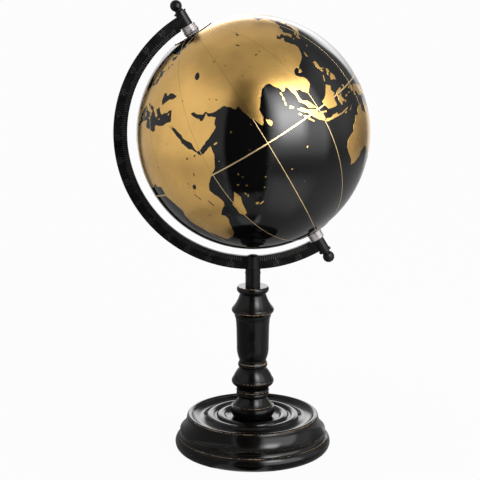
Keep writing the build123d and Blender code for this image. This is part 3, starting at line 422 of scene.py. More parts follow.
class Wiring:
    """Adds nodes to one tree and joins them in few words."""

    def __init__(self, tree):
        self.tree = tree
        tree.nodes.clear()

    def fill(self, socket, value):
        """Links a socket to another one, or sets its own value."""
        if isinstance(value, NodeSocket):
            self.tree.links.new(value, socket)
        else:
            socket.default_value = value

    def add(self, kind, inputs=None, **settings):
        node = self.tree.nodes.new(kind)
        for key, value in settings.items():
            setattr(node, key, value)
        for key, value in (inputs or {}).items():
            self.fill(node.inputs[key], value)
        return node

    def math(self, operation, first, second=0.0):
        return self.add("ShaderNodeMath", {0: first, 1: second}, operation=operation).outputs[0]

    def times(self, product, *factors):
        for factor in factors:
            product = self.math("MULTIPLY", product, factor)
        return product

    def vector(self, operation, output, *inputs):
        return self.add("ShaderNodeVectorMath", dict(enumerate(inputs)), operation=operation).outputs[output]

    def axes(self, vector):
        return self.add("ShaderNodeSeparateXYZ", {"Vector": vector}).outputs

    def spread(self, value, low, high, to_low=0.0, to_high=1.0):
        """Value smoothly brought from one range to another."""
        return self.add(
            "ShaderNodeMapRange",
            {"Value": value, "From Min": low, "From Max": high, "To Min": to_low, "To Max": to_high},
            interpolation_type="SMOOTHSTEP",
        ).outputs["Result"]

    def window(self, value, rise, fall):
        """One between two slopes, each given from its foot to its top."""
        return self.times(self.spread(value, *rise), self.spread(value, *fall))

    def noise(self, place, scale, detail=2.0, roughness=0.5):
        return self.add(
            "ShaderNodeTexNoise", {"Vector": place, "Scale": scale, "Detail": detail, "Roughness": roughness}
        ).outputs["Fac"]

    def mix(self, share, first, second):
        """Colour between two colours."""
        return self.add("ShaderNodeMix", {0: share, 6: first, 7: second}, data_type="RGBA").outputs[2]

    def blend(self, share, first, second):
        """Number between two numbers."""
        return self.add("ShaderNodeMix", {0: share, 2: first, 3: second}, data_type="FLOAT").outputs[0]

    def glow(self, strength):
        return self.add("ShaderNodeEmission", {"Color": WHITE, "Strength": strength}).outputs[0]

    def surface(self, shader):
        self.add("ShaderNodeOutputMaterial", {"Surface": shader})

    def place(self):
        return self.add("ShaderNodeTexCoord").outputs["Object"]


def degrees(*angles):
    return [math.radians(angle) for angle in angles]


def effect_group(name, inputs, outputs):
    """Empty node group that takes a place and numbers, and the wiring and ends to fill it with."""
    tree = bpy.data.node_groups.new(name, "ShaderNodeTree")
    tree.interface.new_socket("Place", in_out="INPUT", socket_type="NodeSocketVector")
    for socket, default in inputs.items():
        tree.interface.new_socket(socket, in_out="INPUT", socket_type="NodeSocketFloat").default_value = default
    for socket in outputs:
        tree.interface.new_socket(socket, in_out="OUTPUT", socket_type="NodeSocketFloat")
    wires = Wiring(tree)
    return wires, wires.add("NodeGroupInput").outputs, wires.add("NodeGroupOutput").inputs


def grain_group(name):
    """Uneven tone and fine height of a sprayed or lacquered coat."""
    wires, start, end = effect_group(name, {"Cloud Scale": 30.0, "Fine Scale": 900.0}, ("Tone", "Height"))
    cloud = wires.noise(start["Place"], start["Cloud Scale"], detail=4.0, roughness=0.6)
    fine = wires.noise(start["Place"], start["Fine Scale"])
    wires.fill(end["Tone"], cloud)
    wires.fill(end["Height"], wires.math("ADD", wires.times(fine, 0.5), cloud))
    return wires.tree


def speck_group(name):
    """Scattered small spots, as a mask."""
    wires, start, end = effect_group(name, {"Scale": 250.0, "Size": 0.16, "Share": 0.1}, ("Mask",))
    cells = wires.add("ShaderNodeTexVoronoi", {"Vector": start["Place"], "Scale": start["Scale"]}).outputs
    lot = wires.add("ShaderNodeSeparateColor", {"Color": cells["Color"]}).outputs[0]
    chosen = wires.math("LESS_THAN", lot, start["Share"])
    spot = wires.math("LESS_THAN", cells["Distance"], start["Size"])
    wires.fill(end["Mask"], wires.times(chosen, spot))
    return wires.tree


def rub_group(name):
    """Broken patches of a band where a coat is rubbed through."""
    wires, start, end = effect_group(name, {"Band": 0.0, "Cover": 0.5}, ("Mask",))
    long = wires.noise(start["Place"], 70.0)
    short = wires.noise(start["Place"], 620.0, detail=3.0, roughness=0.7)
    patch = wires.math("ADD", wires.times(long, 0.45), wires.times(short, 0.55))
    reach = wires.times(start["Band"], start["Cover"])
    wires.fill(end["Mask"], wires.spread(wires.math("ADD", patch, reach), 0.93, 1.03))
    return wires.tree


def effect(wires, name, maker, inputs):
    """Outputs of a shared node group, which is built the first time."""
    tree = bpy.data.node_groups.get(name) or maker(name)
    return wires.add("ShaderNodeGroup", inputs, node_tree=tree).outputs


def coat_grain(wires, place, cloud_scale, fine_scale):
    inputs = {"Place": place, "Cloud Scale": cloud_scale, "Fine Scale": fine_scale}
    made = effect(wires, "Coat Grain", grain_group, inputs)
    return made["Tone"], made["Height"]


def specks(wires, place, scale, size, share):
    inputs = {"Place": place, "Scale": scale, "Size": size, "Share": share}
    return effect(wires, "Specks", speck_group, inputs)["Mask"]


def new_material(name):
    material = bpy.data.materials.new(name)
    material.use_nodes = True
    wires = Wiring(material.node_tree)
    shader = wires.add("ShaderNodeBsdfPrincipled")
    wires.surface(shader.outputs["BSDF"])
    return material, wires, shader


def feed(wires, shader, **sockets):
    for key, value in sockets.items():
        wires.fill(shader.inputs[key.replace("_", " ")], value)


def bump(wires, height, strength, distance):
    return wires.add(
        "ShaderNodeBump", {"Height": height, "Strength": strength, "Distance": distance}
    ).outputs["Normal"]


def shade(colour, factor):
    return (colour[0] * factor, colour[1] * factor, colour[2] * factor, 1)


def sea_lacquer(finish):
    material, wires, shader = new_material("sea_lacquer")
    place = wires.place()
    tone, height = coat_grain(wires, place, cloud_scale=60.0, fine_scale=500.0)
    dust = specks(wires, place, scale=170.0, size=0.07, share=0.08)
    feed(
        wires, shader,
        Base_Color=wires.mix(dust, tuple(finish.sea), GREY_DUST),
        Roughness=wires.spread(tone, 0.3, 0.7, 0.04, 0.09), Specular_IOR_Level=0.36,
        Normal=bump(wires, height, strength=0.1, distance=0.0004),
    )
    return material


def axle_distance(wires, place):
    """Vector from the ball's centre, vector across the ball's axle and distance from the axle."""
    out = wires.vector("SUBTRACT", "Vector", place, BALL_CENTRE)
    across = wires.vector("CROSS_PRODUCT", "Vector", out, NORTH)
    return out, across, wires.vector("LENGTH", "Value", across)


def seam_mask(wires, place, settings):
    """Mask of the thin joints between the printed gores."""
    out, _, radius = axle_distance(wires, place)
    east, front = [wires.vector("DOT_PRODUCT", "Value", out, axis) for axis in (EAST, FRONT)]
    turn = wires.math("ADD", wires.math("ARCTAN2", east, front), settings.facing_longitude - settings.first_meridian)
    away = wires.times(wires.math("PINGPONG", turn, settings.meridian_gap / 2), radius)
    return wires.spread(away, SEAM_CORE, SEAM_EDGE, 1.0, 0.0)


def gold_foil(colour, name, worn, smoothest, settings=None):
    """Pitted gold foil. With the map's settings, the joints between the gores show through it."""
    material, wires, shader = new_material(name)
    place = wires.place()
    tone, height = coat_grain(wires, place, cloud_scale=22.0, fine_scale=1400.0)
    pits = specks(wires, place, scale=210.0, size=0.13, share=worn)
    dust = specks(wires, place, scale=900.0, size=0.3, share=0.1)
    gold = wires.mix(wires.spread(tone, 0.25, 0.75), shade(colour, 0.86), shade(colour, 1.1))
    gold = wires.mix(wires.times(dust, 0.25), gold, shade(colour, 0.45))
    gold = wires.mix(wires.times(pits, 0.8), gold, BARE_PIT)
    if settings:
        gold = wires.mix(wires.times(seam_mask(wires, place, settings), 0.5), gold, shade(colour, 0.3))
    feed(
        wires, shader,
        Base_Color=gold, Metallic=1.0, Roughness=wires.spread(tone, 0.25, 0.75, smoothest, smoothest + 0.07),
        Coat_Weight=0.3, Coat_Roughness=0.05, Normal=bump(wires, height, strength=0.1, distance=0.0003),
    )
    return material


def satin_paint(finish, name, bands, smoothest, roughest, polish):
    """Black paint on turned wood, rubbed through along the given heights (middle, half width, inner radius)."""
    material, wires, shader = new_material(name)
    place = wires.place()
    parts = wires.axes(place)
    flat = wires.add("ShaderNodeCombineXYZ", {"X": parts["X"], "Y": parts["Y"]}).outputs[0]
    radius = wires.vector("LENGTH", "Value", flat)
    worn = 0.0
    for middle, half_width, inner_radius in bands:
        away = wires.math("ABSOLUTE", wires.math("SUBTRACT", parts["Z"], middle))
        band = wires.spread(away, 0.0, half_width, 1.0, 0.0)
        band = wires.times(band, wires.math("GREATER_THAN", radius, inner_radius))
        worn = wires.math("MAXIMUM", band, worn)
    rub = effect(wires, "Rubbed Edge", rub_group, {"Place": place, "Band": worn, "Cover": 0.51})["Mask"]
    grain, height = coat_grain(wires, place, cloud_scale=40.0, fine_scale=700.0)
    dust = specks(wires, place, scale=600.0, size=0.2, share=0.03)
    tone = wires.spread(grain, 0.25, 0.75)
    coat = wires.mix(tone, shade(finish.paint, 0.75), shade(finish.paint, 1.3))
    coat = wires.mix(wires.times(dust, 0.35), coat, WOOD_DUST)
    fibre = wires.spread(wires.noise(place, 1500.0), 0.45, 0.62)
    wood = wires.mix(fibre, shade(finish.rub, 0.35), shade(finish.rub, 1.5))
    rough = wires.math("ADD", wires.spread(tone, 0.0, 1.0, smoothest, roughest), wires.times(rub, 0.25))
    feed(
        wires, shader,
        Base_Color=wires.mix(rub, coat, wood), Roughness=rough, Specular_IOR_Level=polish,
        Normal=bump(wires, height, strength=0.12, distance=0.0004),
    )
    return material


def satin_metal(finish, name, lift=1.0, rough=(0.27, 0.39)):
    """Sprayed black metal. The lift makes it paler, and rough is its smoothest and roughest."""
    material, wires, shader = new_material(name)
    place = wires.place()
    grain, height = coat_grain(wires, place, cloud_scale=70.0, fine_scale=1600.0)
    dust = specks(wires, place, scale=700.0, size=0.18, share=0.03)
    tone = wires.spread(grain, 0.25, 0.75)
    coat = wires.mix(tone, shade(finish.metal, 0.8 * lift), shade(finish.metal, 1.25 * lift))
    feed(
        wires, shader,
        Base_Color=wires.mix(wires.times(dust, 0.3), coat, GREY_DUST),
        Roughness=wires.spread(tone, 0.0, 1.0, *rough), Specular_IOR_Level=0.2,
        Normal=bump(wires, height, strength=0.15, distance=0.0003),
    )
    return material


def clear_plastic(colour, name, clarity, painted_streak_shade, smoothest, rim_radius=NO_RIM):
    """Milky plastic with painted lighter and darker streaks along the axle that stand in for reflected light, and a
    dark line along its rim.
    """
    material, wires, shader = new_material(name)
    place = wires.place()
    _, across, radius = axle_distance(wires, place)
    rim = wires.spread(radius, rim_radius - LINE_START, rim_radius - LINE_FULL)
    # Painted streaks: colour darkened in bands round the axle, standing in for streaks of reflected light.
    painted_streak = wires.spread(wires.noise(across, 320.0, detail=1.0), 0.42, 0.6)
    tone, height = coat_grain(wires, place, cloud_scale=90.0, fine_scale=600.0)
    milky_with_painted_streaks = wires.mix(painted_streak, shade(colour, 1.0), shade(colour, painted_streak_shade))
    feed(
        wires, shader,
        Base_Color=wires.mix(rim, milky_with_painted_streaks, RIM_LINE),
        Roughness=wires.spread(tone, 0.3, 0.7, smoothest, smoothest + 0.08),
        Transmission_Weight=clarity, IOR=1.49, Normal=bump(wires, height, strength=0.03, distance=0.0004),
    )
    return material


def bushing_plastic(finish):
    """Plastic of the bushings and the thrust ring, made once."""
    made = bpy.data.materials.get("bushing_plastic")
    return made or clear_plastic(
        shade(finish.clear, 0.5), "bushing_plastic", clarity=0.1, painted_streak_shade=0.5, smoothest=0.2
    )


def clouded_coat(name, dark, light, scales, relief, rough=None, **sockets):
    """Plain coat that clouds between two colours, with even roughness unless its two ends are given."""
    material, wires, shader = new_material(name)
    tone, height = coat_grain(wires, wires.place(), *scales)
    if rough:
        sockets["Roughness"] = wires.spread(tone, 0.2, 0.8, *rough)
    feed(wires, shader, Base_Color=wires.mix(tone, dark, light), Normal=bump(wires, height, *relief), **sockets)
    return material


def map_direction(longitude, latitude, facing):
    """Unit vector from the ball's centre to a place on the map, both angles in radians."""
    turn = longitude - facing
    return math.cos(latitude) * (math.cos(turn) * FRONT + math.sin(turn) * EAST) + math.sin(latitude) * NORTH


def new_object(bm, name, material):
    mesh = bpy.data.meshes.new(name)
    bm.to_mesh(mesh)
    bm.free()
    mesh.materials.append(material)
    piece = bpy.data.objects.new(name, mesh)
    bpy.context.scene.collection.objects.link(piece)
    return piece


def new_piece(bm, name, body, material):
    piece = new_object(bm, name, material)
    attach(piece, body)
    return piece


def turn_round(bm, axis, steps):
    """Turns all that the mesh holds once round the ball's centre."""
    bmesh.ops.spin(
        bm, geom=bm.verts[:] + bm.edges[:], cent=BALL_CENTRE, axis=axis, angle=FULL_TURN, steps=steps, use_merge=True
    )


def thicken(bm, lift, bevel):
    """Makes a closed wall of an open turned sheet and rounds its corners."""
    rise = bmesh.ops.extrude_face_region(bm, geom=bm.faces[:])["geom"]
    lift([item for item in rise if isinstance(item, bmesh.types.BMVert)])
    bmesh.ops.recalc_face_normals(bm, faces=bm.faces[:])
    corners = [edge for edge in bm.edges if edge.calc_face_angle(0) > CORNER_BEND]
    bmesh.ops.bevel(
        bm, geom=corners, offset=bevel, offset_type="OFFSET", segments=3, profile=0.5, affect="EDGES", material=-1
    )


def shade_as_ball(mesh):
    """Smooth shading with every normal straight out from the ball's centre."""
    mesh.shade_smooth()
    mesh.normals_split_custom_set_from_vertices([(v.co - BALL_CENTRE).normalized() for v in mesh.vertices])


def stray(place, reach):
    """Shift of a shore point, the same for points that lie together."""
    shift = Vector()
    for length, share, start in SHORE_WAVES:
        shift += share * noise.noise_vector(place / length + Vector(start))
    shift *= reach
    return Vector((shift.x / max(math.cos(math.radians(place.y)), LEAST_COSINE), shift.y, 0))


def add_shore(bm, points):
    corners = [bm.verts.new((longitude, latitude, 0)) for longitude, latitude in points]
    for first, second in zip(corners, corners[1:] + corners[:1]):
        bm.edges.new((first, second))


def add_oval(bm, longitude, latitude, half_length, half_width, turn):
    """Small ring on the flat map, as wide on the ball as it is high."""
    widen = Matrix.Diagonal((1 / math.cos(math.radians(latitude)), 1, 1, 1))
    shape = Matrix.Rotation(math.radians(turn), 4, "Z") @ Matrix.Diagonal((half_length, half_width, 1, 1))
    bmesh.ops.create_circle(
        bm, cap_ends=False, segments=9, radius=1, matrix=Matrix.Translation((longitude, latitude, 0)) @ widen @ shape
    )


def flat_land(settings, shores=(), ovals=(), wander=1.0):
    """Filled land on the flat map: the first shore or oval bounds it, the others are its lakes."""
    bm = bmesh.new()
    for points in shores:
        add_shore(bm, points)
    for oval in ovals:
        add_oval(bm, *oval)
    runs = {}
    for edge in bm.edges:
        runs.setdefault(int(edge.calc_length() / settings.coast_step), []).append(edge)
    for cuts, edges in runs.items():
        if cuts:
            bmesh.ops.subdivide_edges(bm, edges=edges, cuts=cuts)
    for vert in bm.verts:
        vert.co += stray(vert.co, settings.coast_wander * wander)
    bmesh.ops.triangle_fill(bm, use_beauty=True, use_dissolve=False, edges=bm.edges[:], normal=(0, 0, 1))
    bmesh.ops.reverse_faces(bm, faces=[face for face in bm.faces if face.normal.z < 0])
    for axis in (0, 1):
        across = Vector((axis == 0, axis == 1, 0))
        low = min(vert.co[axis] for vert in bm.verts)
        high = max(vert.co[axis] for vert in bm.verts)
        for cell in range(math.ceil(low / settings.foil_cell), math.ceil(high / settings.foil_cell)):
            bmesh.ops.bisect_plane(
                bm, geom=bm.verts[:] + bm.edges[:] + bm.faces[:], dist=1e-5,
                plane_co=across * cell * settings.foil_cell, plane_no=across,
            )
    return bm


def wrap_on_ball(bm, settings, height):
    """Bends the flat land onto the ball and turns its edge down to the sea."""
    bmesh.ops.triangulate(bm, faces=bm.faces[:])
    for vert in bm.verts:
        towards = map_direction(math.radians(vert.co.x), math.radians(vert.co.y), settings.facing_longitude)
        vert.co = BALL_CENTRE + towards * (BALL_RADIUS + height)
    shore = [edge for edge in bm.edges if edge.is_boundary]
    wall = bmesh.ops.extrude_edge_only(bm, edges=shore)["geom"]
    for vert in wall:
        if isinstance(vert, bmesh.types.BMVert):
            vert.co = BALL_CENTRE + (vert.co - BALL_CENTRE).normalized() * (BALL_RADIUS - FOIL_FOOT)


def spun_strip(bm, middle, across, width, axis, angle, steps, height):
    """Raised strip along a circle round the ball, starting at a direction from the centre."""
    side = across * width / 2
    low, high = middle * (BALL_RADIUS - FOIL_FOOT), middle * (BALL_RADIUS + height)
    profile = [bm.verts.new(BALL_CENTRE + place) for place in (low - side, high - side, high + side, low + side)]
    edges = [bm.edges.new(pair) for pair in zip(profile, profile[1:])]
    bmesh.ops.spin(
        bm, geom=profile + edges, cent=BALL_CENTRE, axis=axis, angle=angle, steps=steps,
        use_merge=angle == FULL_TURN,
    )
    bm.normal_update()
    bmesh.ops.reverse_faces(
        bm, faces=[face for face in bm.faces if face.normal.dot(face.calc_center_median() - BALL_CENTRE) < -1e-4]
    )


def add_bar(bm, settings, middle, along, length, width):
    """Bar right through the arm, which stands up on both faces as one stroke of the scale."""
    turn = Matrix((along, along.cross(FRONT), FRONT)).transposed().to_4x4()
    size = Matrix.Diagonal((length, width, 2 * (settings.half_thickness + settings.relief), 1))
    bmesh.ops.create_cube(bm, size=1, matrix=Matrix.Translation(middle) @ turn @ size)


def add_figures(bm, settings, centre, out, text):
    """Figures of one number, with their tops towards the ball."""
    unit = settings.figure_height / FIGURE_HEIGHT
    top = settings.inner_radius + settings.figure_start
    right = out.cross(FRONT)
    left = -(FIGURE_ADVANCE * (len(text) - 1) + 1) / 2
    for place, figure in enumerate(text):
        points = [
            centre + out * (top + (FIGURE_HEIGHT - y) * unit) + right * (left + place * FIGURE_ADVANCE + x) * unit
            for x, y in FIGURE_STROKES[figure]
        ]
        for first, second in zip(points, points[1:]):
            along = second - first
            length = along.length + settings.stroke_width
            add_bar(bm, settings, (first + second) / 2, along.normalized(), length, settings.stroke_width)


class GLOBE_OT_ball(Operator):
    """Turn the lacquered black ball that the gold land lies on"""

    bl_idname = "desk_globe.ball"
    bl_label = "Turn Sea Ball"

    def execute(self, context):
        settings = context.scene.desk_globe.map
        bm = bmesh.new()
        opening = math.asin(settings.pole_hole / BALL_RADIUS)
        start = Matrix.Rotation(opening, 3, FRONT) @ NORTH
        lip = bm.verts.new(BALL_CENTRE + start * BALL_RADIUS)
        bmesh.ops.spin(bm, geom=[lip], cent=BALL_CENTRE, axis=FRONT, angle=math.pi - 2 * opening, steps=96)
        for vert in [vert for vert in bm.verts if len(vert.link_edges) == 1]:
            way = 1 if (vert.co - BALL_CENTRE).dot(NORTH) > 0 else -1
            inner = bm.verts.new(vert.co - NORTH * way * LIP_DEPTH)
            bm.edges.new((vert, inner))
        turn_round(bm, NORTH, steps=192)
        bmesh.ops.recalc_face_normals(bm, faces=bm.faces[:])
        ball = new_piece(bm, "sea_ball", "globe", sea_lacquer(context.scene.desk_globe.finish))
        ball.data.shade_smooth()
        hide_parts("map_gores", "north_shell", "south_shell")
        return {"FINISHED"}


class GLOBE_OT_land(Operator):
    """Lay the gold land on the ball"""

    bl_idname = "desk_globe.land"
    bl_label = "Lay Gold Land"

    def execute(self, context):
        settings = context.scene.desk_globe.map
        noise.seed_set(settings.coast_seed)
        lands = [flat_land(settings, (OLD_WORLD, BLACK_SEA), LAKES), flat_land(settings, (NEW_WORLD,), GREAT_LAKES)]
        lands += [flat_land(settings, (shore,), wander=0.6) for shore in ISLANDS]
        lands += [flat_land(settings, (), (oval,), wander=0.35) for oval in ISLETS]
        whole = bmesh.new()
        sheet = bpy.data.meshes.new("sheet")
        for land in lands:
            wrap_on_ball(land, settings, settings.foil_lift)
            land.to_mesh(sheet)
            land.free()
            whole.from_mesh(sheet)
        bpy.data.meshes.remove(sheet)
        gold = gold_foil(
            context.scene.desk_globe.finish.gold, "gold_foil", worn=0.1, smoothest=0.22, settings=settings
        )
        shade_as_ball(new_piece(whole, "gold_land", "globe", gold).data)
        return {"FINISHED"}


class GLOBE_OT_lines(Operator):
    """Draw the equator and the meridians in gold"""

    bl_idname = "desk_globe.lines"
    bl_label = "Draw Map Lines"

    def execute(self, context):
        settings = context.scene.desk_globe.map
        gold = gold_foil(context.scene.desk_globe.finish.line, "gold_line", worn=0.3, smoothest=0.38)
        bm = bmesh.new()
        spun_strip(
            bm, FRONT, NORTH, settings.equator_width, axis=NORTH, angle=FULL_TURN, steps=240, height=settings.line_lift
        )
        equator = new_piece(bm, "equator_line", "globe", gold)
        bm = bmesh.new()
        for number in range(round(FULL_TURN / settings.meridian_gap)):
            longitude = settings.first_meridian + number * settings.meridian_gap
            across = map_direction(longitude + math.pi / 2, 0, settings.facing_longitude)
            start = map_direction(longitude, -MERIDIAN_REACH, settings.facing_longitude)
            spun_strip(
                bm, start, across, settings.meridian_width, axis=-across, angle=2 * MERIDIAN_REACH, steps=120,
                height=settings.line_lift,
            )
        meridians = new_piece(bm, "meridian_lines", "globe", gold)
        for piece in (equator, meridians):
            shade_as_ball(piece.data)
        return {"FINISHED"}


class GLOBE_OT_scale(Operator):
    """Raise the degree ticks and figures on both faces of the arm"""

    bl_idname = "desk_globe.scale"
    bl_label = "Raise Degree Scale"

    def execute(self, context):
        settings = context.scene.desk_globe.scale
        belly = -EAST
        centre = BALL_CENTRE + belly * settings.setback - NORTH * settings.drop
        start = settings.inner_radius + settings.tick_start
        bm = bmesh.new()
        for degree in range(-SCALE_END, SCALE_END + 1):
            if abs(degree - STEM_DEGREE) < STEM_CLEARANCE:
                continue
            out = math.cos(math.radians(degree)) * belly + math.sin(math.radians(degree)) * NORTH
            kind = 2 if degree % 10 == 0 else 1 if degree % 5 == 0 else 0
            length = settings.tick_lengths[kind]
            add_bar(bm, settings, centre + out * (start + length / 2), out, length, settings.tick_width)
            if kind == 2:
                add_figures(bm, settings, centre, out, str(abs(degree)))
        bmesh.ops.recalc_face_normals(bm, faces=bm.faces[:])
        material = satin_metal(context.scene.desk_globe.finish, "scale_metal", lift=15.0, rough=(0.3, 0.42))
        new_piece(bm, "degree_scale", "stand", material)
        return {"FINISHED"}


class GLOBE_OT_caps(Operator):
    """Turn a clear cap with a rounded rim over each pole"""

    bl_idname = "desk_globe.caps"
    bl_label = "Turn Polar Caps"

    def execute(self, context):
        settings = context.scene.desk_globe.cap
        rim_radius = (settings.inner_radius + settings.thickness) * math.sin(settings.rim)
        plastic = clear_plastic(
            context.scene.desk_globe.finish.clear, "cap_plastic", clarity=0.97, painted_streak_shade=0.97, smoothest=0.03,
            rim_radius=rim_radius,
        )
        for node, pole in (("upper_cap", NORTH), ("lower_cap", -NORTH)):
            bm = bmesh.new()
            start = bm.verts.new(BALL_CENTRE + Matrix.Rotation(settings.hole, 3, FRONT) @ pole * settings.inner_radius)
            bmesh.ops.spin(
                bm, geom=[start], cent=BALL_CENTRE, axis=FRONT, angle=settings.rim - settings.hole, steps=12
            )
            turn_round(bm, pole, steps=96)
            thicken(bm, lambda verts: bmesh.ops.scale(
                bm, verts=verts, vec=Vector((1, 1, 1)) * (1 + settings.thickness / settings.inner_radius),
                space=Matrix.Translation(-BALL_CENTRE),
            ), settings.bevel)
            piece = new_piece(bm, node.replace("cap", "polar_cap"), "globe", plastic)
            piece.data.shade_smooth()
            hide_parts(node)
        return {"FINISHED"}


class GLOBE_OT_ring(Operator):
    """Set a thrust ring between the upper bushing and the arm"""

    bl_idname = "desk_globe.ring"
    bl_label = "Set Thrust Ring"

    def execute(self, context):
        settings = context.scene.desk_globe.ring
        foot = BALL_CENTRE + NORTH * settings.foot
        bm = bmesh.new()
        bm.edges.new([bm.verts.new(foot + FRONT * radius) for radius in (settings.inner_radius, settings.outer_radius)])
        turn_round(bm, NORTH, steps=64)
        thicken(bm, lambda verts: bmesh.ops.translate(bm, verts=verts, vec=NORTH * settings.height), settings.bevel)
        plastic = bushing_plastic(context.scene.desk_globe.finish)
        new_piece(bm, "upper_thrust_ring", "globe", plastic).data.shade_smooth()
        return {"FINISHED"}


class GLOBE_OT_finishes(Operator):
    """Put the paint, metal, plastic and felt on the turned and cast pieces"""

    bl_idname = "desk_globe.finishes"
    bl_label = "Finish Stand"

    def execute(self, context):
        finish = context.scene.desk_globe.finish
        black = satin_metal(finish, "black_metal")
        steel = clouded_coat(
            "plain_steel", (0.4, 0.4, 0.39, 1), (0.62, 0.61, 0.59, 1), scales=(120.0, 2200.0),
            relief=(0.15, 0.0002), rough=(0.25, 0.45), Metallic=1.0,
        )
        coats = {
            "felt_pad": clouded_coat(
                "felt_cloth", (0.006, 0.007, 0.006, 1), (0.03, 0.032, 0.03, 1), scales=(150.0, 3000.0),
                relief=(0.6, 0.0008), Roughness=0.95, Sheen_Weight=0.4, Sheen_Roughness=0.5,
            ),
            "base": satin_paint(finish, "base_paint", BASE_BANDS, smoothest=0.11, roughest=0.16, polish=0.3),
            "column": satin_paint(finish, "column_paint", COLUMN_BANDS, smoothest=0.16, roughest=0.22, polish=0.22),
            "joining_band": clouded_coat(
                "shell_plastic", (0.5, 0.48, 0.44, 1), (0.62, 0.6, 0.56, 1), scales=(50.0, 800.0),
                relief=(0.1, 0.0004), rough=(0.4, 0.55),
            ),
        }
        coats.update(dict.fromkeys(
            ("stem_sleeve", "stem_bolt", "meridian_arm", "upper_finial", "lower_finial"), black))
        coats.update(dict.fromkeys(("stem_washer", "stem_nut", "axle_rod"), steel))
        coats.update(dict.fromkeys(("upper_bushing", "lower_bushing"), bushing_plastic(finish)))
        for node, coat in coats.items():
            mesh = frame["nodes"][node].data
            mesh.materials.clear()
            mesh.materials.append(coat)
        return {"FINISHED"}


